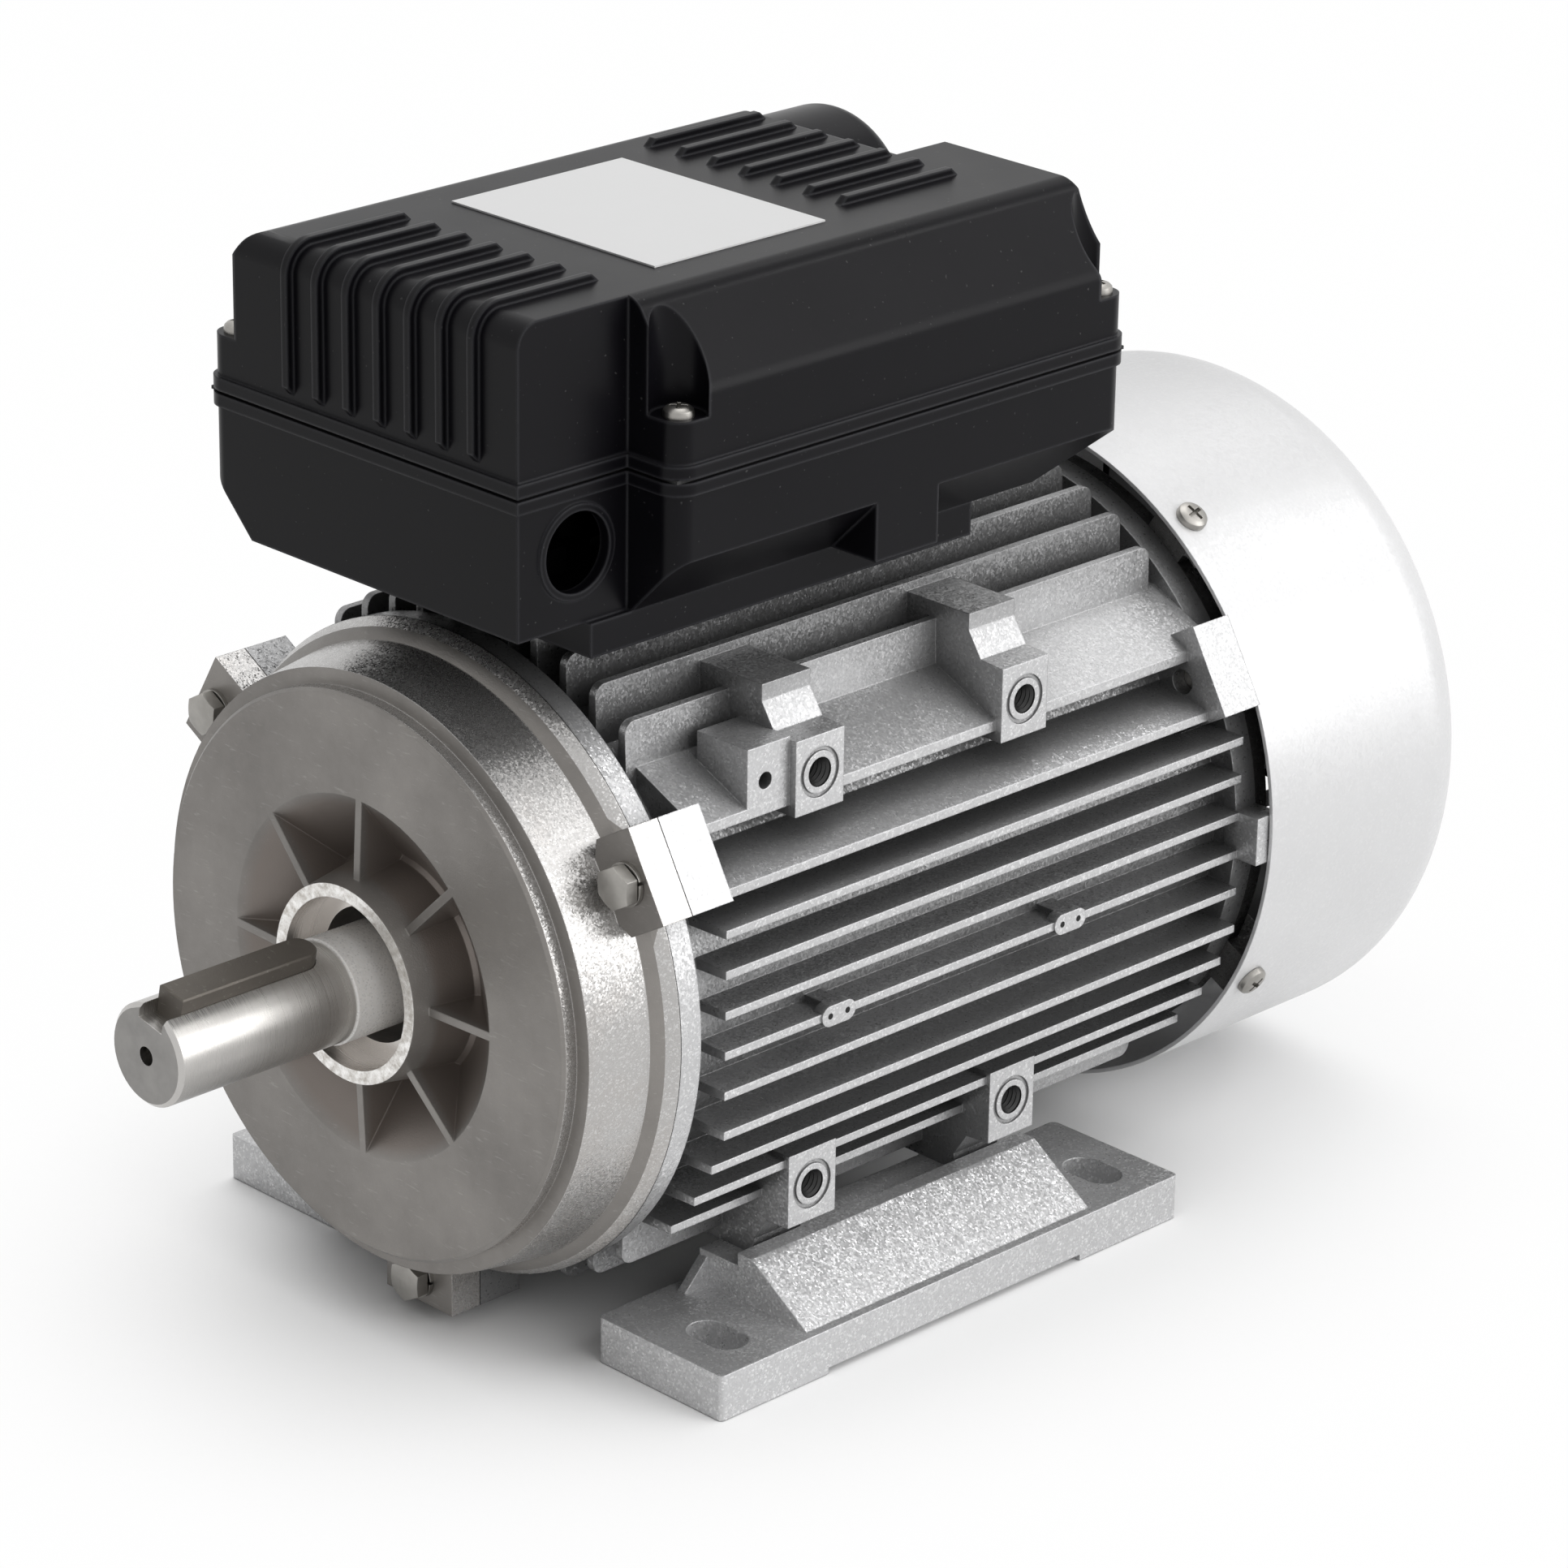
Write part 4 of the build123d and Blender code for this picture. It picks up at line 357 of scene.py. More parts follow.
def blasted_metal(name, colour, grain, edge, metallic=0.6, rough=0.38, tilt=0.24, stain=None,
                  seam=None, depths=0.0, painted_shade=0.3, painted_glint=0.6, overhang=0.0, roof=None):
    """Shot-blasted aluminium: small facets that sparkle, painted glints on some cells, fine pits and slow
    tone changes.

    It gets painted shade in depths and below an overhang, and painted shadow from the height of the roof up.
    """
    s = Shades(name)
    pits = s.noise(0.6 / grain, detail=3.0, rough=0.6)
    facets = s.add("ShaderNodeTexVoronoi", feature="F1")
    facets.inputs["Scale"].default_value = 1.0 / grain
    s.feed(s.place, facets, "Vector")
    grey = s.add("ShaderNodeSeparateColor")
    s.link(facets, "Color", grey, "Color")
    base = s.tint(s.noise(16.0, detail=5.0), 0.3, 0.7, darker(colour, 0.9), colour)
    if stain is not None:
        patch = s.noise(9.0, detail=6.0, rough=0.7)
        base = s.over(base, s.spread(patch, 0.5, 0.72, 0.0, 0.55), stain)
    # painted glints: some cells of the grain get near-white colour, standing in for sparkle
    if painted_glint > 0:
        bright = s.spread(grey.outputs["Green"], 0.72, 1.0, 0.0, painted_glint)
        base = s.over(base, bright, (0.95, 0.95, 0.95, 1.0))
    # painted shade: colour darkened where ambient occlusion finds the fins' channels and other hollows
    # closed in
    if depths > 0:
        base = s.painted_shelter_shade(base, depths, 0.28, 0.72, 1.0, darker(colour, painted_shade))
    # painted shade below overhangs, such as the terminal box over the housing
    if overhang > 0:
        base = s.painted_shelter_shade(base, overhang, 0.3, 0.75, 0.9, darker(colour, painted_shade))
    # painted shadow: the top of the housing, from the roof height up, darkened for the terminal box's shadow
    if roof is not None:
        painted_box_shadow = s.within(s.coordinate("Z"), roof, roof + 200.0 * MM, 6.0 * MM)
        base = s.over(base, s.combine("MULTIPLY", painted_box_shadow, 0.62), darker(colour, painted_shade))
    if seam is not None:
        half = 0.13 * MM
        line = s.within(s.coordinate("Y"), seam - half, seam + half, 0.03 * MM)
        base = s.over(base, line, (0.02, 0.018, 0.016, 1.0))
    normal = s.bump(pits, 0.08, grain * 0.3, edge=edge)
    s.set(colour=base, roughness=s.spread(grey.outputs["Red"], 0.0, 1.0, rough * 1.2, rough * 0.7),
          metallic=metallic, normal=s.tilted(facets.outputs["Color"], tilt, normal))
    return s.material


def cast_face(name, colour, grain, edge, recess=None):
    """Dull cast face with faint scratches and rubbed patches, and painted shade in a recess if one is given.
    """
    s = Shades(name)
    pits = s.noise(1.2 / grain, detail=4.0, rough=0.6)
    cloud = s.noise(22.0, detail=7.0, rough=0.68)
    base = s.tint(cloud, 0.32, 0.7, darker(colour, 0.82), darker(colour, 1.18))
    scratch = s.noise(1.0, detail=3.0, place=s.stretched((260.0, 900.0, 1500.0)))
    bare_metal = (0.6, 0.58, 0.55, 1.0)
    base = s.over(base, s.spread(scratch, 0.62, 0.8, 0.0, 0.3), bare_metal)
    # painted shade: the recess of the front shield gets a darker colour, for the shade inside it
    if recess is not None:
        inner_radius, outer_radius, floor = recess
        shadowed = (0.24, 0.21, 0.19, 1.0)
        inner = s.within(s.from_shaft(), inner_radius, outer_radius, 0.6 * MM)
        deep = s.within(s.coordinate("Y"), floor + 1.2 * MM, floor + 50.0 * MM, 1.0 * MM)
        base = s.over(base, s.combine("MULTIPLY", inner, deep), shadowed)
    s.set(colour=base, roughness=s.spread(cloud, 0.3, 0.7, 0.46, 0.32), metallic=0.55,
          normal=s.bump(pits, 0.4, grain * 0.25, edge=edge))
    return s.material


def worn_lip(name, bright, dark):
    """A turned lip with rubbed bright places and dark residue between them."""
    s = Shades(name)
    patch = s.noise(520.0, detail=6.0, rough=0.7)
    s.set(colour=s.tint(patch, 0.36, 0.62, dark, bright), metallic=0.9,
          roughness=s.spread(patch, 0.4, 0.65, 0.5, 0.24),
          normal=s.bump(patch, 0.5, 0.25 * MM, edge=0.4 * MM))
    return s.material


def turned_steel(name, colour, ring_scale, rough, depth, edge=0.0):
    """Steel turned or ground about the shaft: fine rings across the length."""
    s = Shades(name)
    rings = s.noise(1.0, detail=3.0, place=s.stretched((12.0, ring_scale, 12.0)))
    s.set(colour=s.tint(s.noise(45.0, detail=5.0), 0.3, 0.75, darker(colour, 0.8), colour),
          roughness=s.spread(rings, 0.3, 0.7, rough * 0.75, rough * 1.3), metallic=1.0,
          normal=s.bump(rings, 0.3, depth, edge=edge))
    return s.material


def plated(name, colour, rough=0.3, edge=0.0):
    """Zinc plate with faint cloudy tones."""
    s = Shades(name)
    cloud = s.noise(160.0, detail=4.0)
    s.set(colour=s.tint(cloud, 0.35, 0.7, darker(colour, 0.72), colour),
          roughness=s.spread(cloud, 0.3, 0.7, rough, rough * 1.5), metallic=1.0,
          normal=s.bump(s.noise(2600.0, detail=2.0), 0.15, 0.05 * MM, edge=edge))
    return s.material


def moulded(name, colour, rough, grain=0.35 * MM, strength=0.12, edge=0.0, dust=None, specular=0.4,
            uneven=0.13, worn=None):
    """Moulded plastic with a spark-eroded texture, dust specks and painted highlights on edges."""
    s = Shades(name)
    fine = s.noise(1.0 / grain, detail=3.0)
    cloud = s.noise(18.0, detail=5.0, rough=0.6)
    base = s.tint(cloud, 0.3, 0.75, darker(colour, 1.0 - uneven), darker(colour, 1.0 + uneven * 0.7))
    if dust is not None:
        base = s.over(base, s.spread(s.noise(900.0, detail=1.0), 0.74, 0.8, 0.0, 0.5), dust)
    # painted highlights: edges and fillets lightened, standing in for light caught on them
    if worn is not None:
        base = s.over(base, s.painted_edge_highlight(1.3 * MM), worn)
    s.set(colour=base, roughness=s.spread(cloud, 0.3, 0.7, rough * 0.9, rough * 1.15), specular=specular,
          normal=s.bump(fine, strength, grain * 0.25, edge=edge))
    return s.material


def stacked_sheet(name, colour):
    """Edges of laminations stacked along the shaft."""
    s = Shades(name)
    node = s.add("ShaderNodeTexWave", wave_type="BANDS", bands_direction="Y")
    node.inputs["Scale"].default_value = 310.0
    node.inputs["Distortion"].default_value = 0.4
    s.feed(s.place, node, "Vector")
    wave = node.outputs["Fac"]
    s.set(colour=s.tint(wave, 0.0, 1.0, darker(colour, 0.6), colour), metallic=0.9, roughness=0.45,
          normal=s.bump(wave, 0.4, 0.1 * MM))
    return s.material


def wound_wire(name, colour):
    """Enamelled wire laid round the bore, laced with cord."""
    s = Shades(name)
    wires = s.noise(1.0, detail=2.0, place=s.stretched((900.0, 2400.0, 900.0)))
    s.set(colour=s.tint(wires, 0.35, 0.65, darker(colour, 0.45), colour), metallic=0.6, roughness=0.35,
          normal=s.bump(wires, 0.8, 0.3 * MM))
    return s.material


# mesh building

def linked(name, data):
    """A new object of some data, in the scene."""
    result = bpy.data.objects.new(name, data)
    bpy.context.scene.collection.objects.link(result)
    return result


def mesh_of(bm, name, material=None, angle=35):
    """A mesh from bmesh data, which it frees, smoothed where it gets a finish."""
    mesh = bpy.data.meshes.new(name)
    bm.to_mesh(mesh)
    bm.free()
    if material is not None:
        mesh.materials.append(material)
        smooth(mesh, angle)
    return mesh


def evaluated(holder):
    """A plain mesh of an object with its modifiers."""
    bpy.context.view_layer.update()
    ready = holder.evaluated_get(bpy.context.evaluated_depsgraph_get())
    return bpy.data.meshes.new_from_object(ready)


def put(mesh, name, body, *nodes):
    """Make an object of a mesh, ride it on a body and let it stand for CAD nodes."""
    piece = linked(name, mesh)
    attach(piece, body)
    if nodes:
        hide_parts(*nodes)
    return piece


def merged_copy(node):
    """A merged copy of a CAD node's mesh, its loose triangles joined."""
    mesh = frame["nodes"][node].data.copy()
    mesh.materials.clear()
    bm = bmesh.new()
    bm.from_mesh(mesh)
    bmesh.ops.remove_doubles(bm, verts=bm.verts, dist=2e-6)
    bm.to_mesh(mesh)
    bm.free()
    if mesh.attributes.get("custom_normal"):
        mesh.attributes.remove(mesh.attributes["custom_normal"])
    return mesh


def smooth(mesh, angle):
    """Smooth shading with sharp edges past an angle."""
    mesh.polygons.foreach_set("use_smooth", [True] * len(mesh.polygons))
    mesh.set_sharp_from_angle(angle=math.radians(angle))
    mesh.update()


def weighed(mesh):
    """Keep flat faces flat beside rounded ones."""
    holder = linked("weighing", mesh)
    weights = holder.modifiers.new("flat faces", "WEIGHTED_NORMAL")
    weights.keep_sharp = True
    weights.weight = 80
    result = evaluated(holder)
    bpy.data.objects.remove(holder)
    return result


def body_of(node):
    """The body that carries a CAD node."""
    parent = frame["nodes"][node].parent
    for name, empty in frame["bodies"].items():
        if empty == parent:
            return name
    raise RuntimeError("no body carries " + node)


def dress(node, name, material, angle=28.0):
    """Replace a CAD node by a merged, smooth copy in a finish."""
    mesh = merged_copy(node)
    mesh.materials.append(material)
    smooth(mesh, angle)
    result = weighed(mesh)
    result.name = name
    return put(result, name, body_of(node), node)


def second_finish(piece, material, test):
    """Give the faces that pass a test another finish."""
    piece.data.materials.append(material)
    slot = len(piece.data.materials) - 1
    for face in piece.data.polygons:
        if test(face.center, face.normal):
            face.material_index = slot


def finish_node(node, material):
    """Give a carried-over CAD node its finish."""
    data = frame["nodes"][node].data
    data.materials.clear()
    data.materials.append(material)


def lathe(name, profile, steps, material):
    """A turned shape about local Z from (radius, height) points."""
    bm = bmesh.new()
    rows = []
    for k in range(steps):
        a = 2 * math.pi * k / steps
        rows.append([bm.verts.new((r * math.cos(a), r * math.sin(a), z)) for r, z in profile])
    for k in range(steps):
        here, there = rows[k], rows[(k + 1) % steps]
        for j in range(len(profile) - 1):
            bm.faces.new((here[j], there[j], there[j + 1], here[j + 1]))
    bmesh.ops.remove_doubles(bm, verts=bm.verts, dist=1e-7)
    bmesh.ops.recalc_face_normals(bm, faces=bm.faces)
    return mesh_of(bm, name, material)


def set_copies(name, shape, places, material, body, nodes=()):
    """Geometry Nodes: one copy of a shape on each place, turned to face outwards."""
    points = bpy.data.meshes.new(name + "_places")
    points.from_pydata([tuple(place[0]) for place in places], [], [])
    outward = points.attributes.new("outward", "FLOAT_VECTOR", "POINT")
    outward.data.foreach_set("vector", [c for place in places for c in place[1]])
    spin = points.attributes.new("spin", "FLOAT", "POINT")
    spin.data.foreach_set("value", [place[2] for place in places])
    holder = linked(name + "_holder", points)
    model = linked(name + "_shape", shape)

    tree = bpy.data.node_groups.new(name + "_copies", "GeometryNodeTree")
    face = tree.interface
    face.new_socket("Geometry", in_out="INPUT", socket_type="NodeSocketGeometry")
    shape_in = face.new_socket("Shape", in_out="INPUT", socket_type="NodeSocketObject")
    size_in = face.new_socket("Size", in_out="INPUT", socket_type="NodeSocketFloat")
    finish_in = face.new_socket("Finish", in_out="INPUT", socket_type="NodeSocketMaterial")
    face.new_socket("Geometry", in_out="OUTPUT", socket_type="NodeSocketGeometry")
    n = Nodes(tree)
    start, end, info = n.add("NodeGroupInput"), n.add("NodeGroupOutput"), n.add("GeometryNodeObjectInfo")
    along = n.add("GeometryNodeInputNamedAttribute", data_type="FLOAT_VECTOR")
    along.inputs["Name"].default_value = "outward"
    turn = n.add("GeometryNodeInputNamedAttribute", data_type="FLOAT")
    turn.inputs["Name"].default_value = "spin"
    align = n.add("FunctionNodeAlignRotationToVector", axis="Z")
    twist = n.add("FunctionNodeAxisAngleToRotation")
    twist.inputs["Axis"].default_value = (0, 0, 1)
    both = n.add("FunctionNodeRotateRotation", rotation_space="LOCAL")
    copies = n.add("GeometryNodeInstanceOnPoints")
    real, paint = n.add("GeometryNodeRealizeInstances"), n.add("GeometryNodeSetMaterial")
    for ends in (
            (start, "Shape", info, "Object"), (along, "Attribute", align, "Vector"),
            (turn, "Attribute", twist, "Angle"), (align, "Rotation", both, "Rotation"),
            (twist, "Rotation", both, "Rotate By"), (start, "Geometry", copies, "Points"),
            (info, "Geometry", copies, "Instance"), (both, "Rotation", copies, "Rotation"),
            (start, "Size", copies, "Scale"), (copies, "Instances", real, "Geometry"),
            (real, "Geometry", paint, "Geometry"), (start, "Finish", paint, "Material"),
            (paint, "Geometry", end, "Geometry")):
        n.link(*ends)

    modifier = holder.modifiers.new("copies", "NODES")
    modifier.node_group = tree
    modifier[shape_in.identifier] = model
    modifier[size_in.identifier] = 1.0
    modifier[finish_in.identifier] = material
    mesh = evaluated(holder)
    mesh.name = name
    if not len(mesh.polygons):
        raise RuntimeError(name + " came out empty")
    for old in ("outward", "spin"):
        if mesh.attributes.get(old):
            mesh.attributes.remove(mesh.attributes[old])
    bpy.data.objects.remove(holder)
    bpy.data.objects.remove(model)
    mesh.materials.clear()
    mesh.materials.append(material)
    return put(mesh, name, body, *nodes)


def islands(node):
    """The separate solids of a CAD node, each as a list of points."""
    bm = bmesh.new()
    bm.from_mesh(frame["nodes"][node].data)
    bmesh.ops.remove_doubles(bm, verts=bm.verts, dist=2e-6)
    left = set(bm.verts)
    groups = []
    while left:
        open_ends = [left.pop()]
        group = []
        while open_ends:
            vertex = open_ends.pop()
            group.append(vertex.co.copy())
            for edge in vertex.link_edges:
                other = edge.other_vert(vertex)
                if other in left:
                    left.remove(other)
                    open_ends.append(other)
        groups.append(group)
    bm.free()
    return sorted(groups, key=lambda group: tuple(round(value, 4) for value in middle(group)))


def middle(points):
    """The middle of the points' box."""
    low = Vector([min(p[k] for p in points) for k in range(3)])
    high = Vector([max(p[k] for p in points) for k in range(3)])
    return (low + high) / 2


def extent(points, axis):
    """How long the points' box is along an axis."""
    return max(p[axis] for p in points) - min(p[axis] for p in points)


def prism(name, sides, radius, low, high):
    """An upright prism about local Z."""
    bm = bmesh.new()
    rings = [[bm.verts.new((radius * math.cos(2 * math.pi * k / sides),
                            radius * math.sin(2 * math.pi * k / sides), z)) for k in range(sides)]
             for z in (low, high)]
    bm.faces.new(reversed(rings[0]))
    bm.faces.new(rings[1])
    for k in range(sides):
        there = (k + 1) % sides
        bm.faces.new((rings[0][k], rings[0][there], rings[1][there], rings[1][k]))
    return mesh_of(bm, name)


def block(name, centre, size):
    """A box from its centre and its three sizes."""
    bm = bmesh.new()
    bmesh.ops.create_cube(bm, size=1.0)
    bmesh.ops.scale(bm, vec=size, verts=bm.verts)
    bmesh.ops.translate(bm, vec=centre, verts=bm.verts)
    return mesh_of(bm, name)


def carved(base, tools, operation, material):
    """Boolean of one mesh with others, as a plain mesh."""
    holder = linked("carving", base)
    helpers = []
    for tool in tools:
        helper = linked("tool", tool)
        helpers.append(helper)
        change = holder.modifiers.new("carve", "BOOLEAN")
        change.operation = operation
        change.solver = "EXACT"
        change.object = helper
    mesh = evaluated(holder)
    for helper in helpers + [holder]:
        bpy.data.objects.remove(helper)
    if not len(mesh.polygons):
        raise RuntimeError("nothing left of a carved mesh")
    mesh.materials.clear()
    mesh.materials.append(material)
    smooth(mesh, 30)
    return mesh


def joined(name, meshes, material):
    """Several meshes in one."""
    bm = bmesh.new()
    for mesh in meshes:
        bm.from_mesh(mesh)
    return mesh_of(bm, name, material, angle=30)


def cross_screw(name, radius, height, shank, length, material, flat=0.0):
    """A pan head screw with a cross recess, its seat at local z 0."""
    outline = [(0, -0.05 * MM), (radius, -0.05 * MM), (radius, 0.3 * height), (0.95 * radius, 0.62 * height),
               (0.78 * radius, 0.86 * height), (0.5 * radius, height), (flat * radius, height), (0, height)]
    head = lathe(name, outline, 40, material)
    depth = 0.62 * height
    centre = (0, 0, height - depth / 2 + 0.1 * MM)
    reach, width = 1.15 * radius, 0.24 * radius
    tools = [block("slot", centre, (reach, width, depth)), block("slot", centre, (width, reach, depth))]
    head = carved(head, tools, "DIFFERENCE", material)
    stem = lathe(name, [(0, 0), (shank, 0), (shank, -length), (0, -length)], 20, material)
    return joined(name, (head, stem), material)


def hexagon_bolt(name, across_flats, height, shank, length, material):
    """A hexagon bolt with a chamfered head, its seat at local z 0."""
    corner = across_flats / math.sqrt(3)
    past, chamfer, flat_radius = 1 * MM, 0.75 * MM, across_flats * 0.47
    outline = [(0, -past), (corner + past, -past), (corner + past, height - chamfer),
               (flat_radius, height), (0, height)]
    bounds = lathe(name, outline, 48, material)
    head = carved(prism(name, 6, corner, 0.0, height + past), [bounds], "INTERSECT", material)
    overlap = 0.2 * MM
    stem = lathe(name, [(0, overlap), (shank, overlap), (shank, -length), (0, -length)], 24, material)
    return joined(name, (head, stem), material)


def split_ring(name, inner, outer, thickness, lift, material):
    """A spring washer: a square wire ring, cut once and sprung a little."""
    bm = bmesh.new()
    steps = 44
    gap = 4
    rows = []
    for k in range(steps + 1):
        a = math.radians(gap + (360 - 2 * gap) * k / steps)
        rise = lift * (k / steps - 0.5)
        rows.append([bm.verts.new((r * math.cos(a), r * math.sin(a), z + rise))
                     for r, z in ((inner, 0), (outer, 0), (outer, thickness), (inner, thickness))])
    for k in range(steps):
        for j in range(4):
            bm.faces.new((rows[k][j], rows[k + 1][j], rows[k + 1][(j + 1) % 4], rows[k][(j + 1) % 4]))
    bm.faces.new(rows[0])
    bm.faces.new(reversed(rows[-1]))
    bmesh.ops.recalc_face_normals(bm, faces=bm.faces)
    return mesh_of(bm, name, material)


FINISHES = {}


def finish(name):
    """A finish that the first operator made."""
    if name not in FINISHES:
        raise RuntimeError("the finishes come first: " + name)
    return FINISHES[name]


# operators

class MOTOR_OT_finishes(bpy.types.Operator):
    """Make the metals, plastics and paints"""

    bl_idname = "motor.finishes"
    bl_label = "Make finishes"

    def execute(self, context):
        cast = context.scene.motor_cast
        plastic = context.scene.motor_plastic
        steel = context.scene.motor_steel
        stain = (0.42, 0.37, 0.33, 1.0)
        housing, box = tuple(cast.housing_colour), tuple(plastic.box_colour)
        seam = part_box("stator_housing")[0].y
        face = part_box("front_end_shield")[0].y
        inner, outer, depth = RECESS_FLOOR
        FINISHES.update({
            # painted shade in the fins' channels and under the terminal box, and painted shadow over the top
            # of the housing
            "housing": blasted_metal(
                "blasted housing", housing, cast.grain, cast.edge, seam=seam, depths=cast.channel_depth,
                overhang=60.0 * MM, roof=SHAFT_HEIGHT + 66.0 * MM),
            "feet": blasted_metal("blasted feet", housing, cast.grain, cast.edge, tilt=0.28),
            "shield": blasted_metal(
                "blasted shield", tuple(cast.shield_colour), cast.grain * 0.8, cast.edge, metallic=0.85,
                rough=0.32, tilt=0.2, stain=stain, seam=seam, painted_glint=0.3),
            # painted shade: a darker copy of the shield colour, darkest in its enclosed places, for the
            # shadow in the gap inside the fan cover
            "rear shield": blasted_metal(
                "shaded rear shield", darker(cast.shield_colour, 0.75), cast.grain, cast.edge,
                depths=26.0 * MM, painted_shade=0.04, painted_glint=0.2),
            # painted shade: the forward faces of the front shield, a duller cast face darkened further for
            # the shade on the front side
            "shield face": cast_face(
                "cast shield face", tuple(cast.dull_shaded_face_colour), cast.grain, cast.edge,
                recess=(inner, outer, face + depth)),
            "hub bore": turned_steel("turned hub bore", (0.66, 0.63, 0.6, 1.0), 2600.0, 0.24, 0.06 * MM),
            "shaft": turned_steel(
                "ground shaft", tuple(steel.shaft_colour), 5200.0, 0.3, 0.03 * MM, edge=0.3 * MM),
            # painted light: the neck's colour is the shaft colour made 1.35 times lighter, against the hub's
            # shade on it; painted glints on its grain too
            "neck": blasted_metal(
                "rough turned neck", darker(steel.shaft_colour, 1.35), 0.4 * MM, 0.3 * MM, metallic=0.15,
                rough=0.36, tilt=0.2, painted_glint=0.4),
            "hub lip": worn_lip("worn hub lip", (0.95, 0.94, 0.92, 1.0), (0.55, 0.52, 0.48, 1.0)),
            "shaft end": plated("sawn shaft end", darker(steel.shaft_colour, 0.62), rough=0.42),
            "key": cast_face("drawn key steel", tuple(steel.key_colour), 0.4 * MM, 0.3 * MM),
            "zinc": plated("zinc plate", tuple(steel.zinc_colour), edge=0.3 * MM),
            "bearing": turned_steel("ground bearing steel", (0.5, 0.5, 0.5, 1.0), 900.0, 0.3, 0.03 * MM),
            # painted highlights: the last colour lightens the box's edges and fillets, for light caught on
            # them
            "box": moulded(
                "black box plastic", box, plastic.box_roughness, edge=0.7 * MM, dust=(0.1, 0.1, 0.1, 1.0),
                specular=0.12, worn=(0.045, 0.045, 0.05, 1.0)),
            "inner plastic": moulded("black inner plastic", box, 0.5),
            "cover": blasted_metal(
                "pale cover sheet", tuple(plastic.cover_colour), 0.6 * MM, 0.4 * MM, metallic=0.4,
                rough=0.42, tilt=0.05, painted_glint=0.1),
            "label": moulded(
                "label film", tuple(plastic.label_colour), 0.4, grain=0.2 * MM, strength=0.05, uneven=0.02),
            "rubber": moulded("seal rubber", (0.03, 0.03, 0.03, 1.0), 0.65),
            "sheet": stacked_sheet("laminated sheet", (0.32, 0.32, 0.34, 1.0)),
            "wire": wound_wire("enamelled wire", (0.55, 0.22, 0.09, 1.0)),
            "cage": blasted_metal("cast cage", (0.6, 0.6, 0.6, 1.0), 0.5 * MM, 0.0),
            "brass": plated("brass", (0.62, 0.45, 0.18, 1.0), rough=0.28),
            "can": moulded("capacitor can", (0.8, 0.8, 0.78, 1.0), 0.3),
            "laminate": moulded("switch laminate", (0.35, 0.2, 0.1, 1.0), 0.45),
            # painted shade: the threads in the pad holes are nearly black, for the shade in the holes
            "thread": plated("cut thread", (0.07, 0.07, 0.07, 1.0), rough=0.35),
            # painted shade: near-black colour for the walls of the pad holes and for the tab holes, where
            # shade falls
            "painted hole shade": moulded("painted hole shade", (0.01, 0.01, 0.01, 1.0), 0.8),
        })
        return {"FINISHED"}


class MOTOR_OT_housing(bpy.types.Operator):
    """Dress the finned housing and the feet"""

    bl_idname = "motor.housing"
    bl_label = "Housing and feet"

    def execute(self, context):
        housing = dress("stator_housing", "housing_casting", finish("housing"))
        cast = context.scene.motor_cast

        def in_hole(centre, normal):
            if abs(centre.x) > cast.pad_face - 0.1 * MM or abs(centre.x) < cast.pad_face - 14.5 * MM:
                return False
            y = abs(centre.y) - cast.pad_pitch / 2
            z = abs(centre.z - SHAFT_HEIGHT) - cast.pad_drop
            return math.hypot(y, z) < cast.pad_hole_radius + 0.05 * MM

        # painted shade: the walls of the pad holes get near-black colour
        second_finish(housing, finish("painted hole shade"), in_hole)
        for side in ("right_foot", "left_foot"):
            foot = dress(side, side + "_casting", finish("feet"))
            self.square_corners(foot, side, cast)
        return {"FINISHED"}

    def square_corners(self, foot, side, cast):
        """Draw the plate's rounded corners out to the small radius of the casting."""
        low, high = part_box(side)
        inner, outer = (low.x, high.x) if side == "right_foot" else (high.x, low.x)
        for x, radius, small in ((outer, cast.outer_corner, SMALL_OUTER_CORNER),
                                 (inner, cast.inner_corner, SMALL_INNER_CORNER)):
            for y in (low.y, high.y):
                out = Vector((1 if x == high.x else -1, 1 if y == high.y else -1))
                centre = Vector((x, y)) - radius * out
                target = Vector((x, y)) - small * out
                for vertex in foot.data.vertices:
                    away = vertex.co.xy - centre
                    if vertex.co.z > cast.plate_height + 0.1 * MM or away.length < 0.9 * radius:
                        continue
                    if away.x * out.x < -1e-6 or away.y * out.y < -1e-6 or away.length > radius + 0.05 * MM:
                        continue
                    vertex.co.xy = target + away.normalized() * (away.length - radius + small)
        foot.data.update()


class MOTOR_OT_shields(bpy.types.Operator):
    """Dress the end shields: the front one with duller faces in painted shade and a machined bore, the rear
    one in painted shade
    """

    bl_idname = "motor.shields"
    bl_label = "End shields"

    def execute(self, context):
        front = dress("front_end_shield", "front_shield_casting", finish("shield"))
        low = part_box("front_end_shield")[0].y

        def reach(centre):
            return math.hypot(centre.x, centre.z - SHAFT_HEIGHT)

        def faces_front(centre, normal):
            if reach(centre) < RECESS_REACH and centre.y < low + RECESS_BACK:
                return True
            return normal.y < -0.35 and centre.y < low + FACE_BACK

        def in_bore(centre, normal):
            return reach(centre) < BORE_REACH and centre.y < low + BORE_BACK

        def on_lip(centre, normal):
            on_ring = LIP_INNER < reach(centre) < LIP_OUTER
            return on_ring and centre.y < low + LIP_BACK and normal.y < -0.2

        # the forward faces get the darker face finish: painted shade, over a duller cast face
        second_finish(front, finish("shield face"), faces_front)
        second_finish(front, finish("hub bore"), in_bore)
        second_finish(front, finish("hub lip"), on_lip)
        dress("rear_end_shield", "rear_shield_casting", finish("rear shield"))
        return {"FINISHED"}


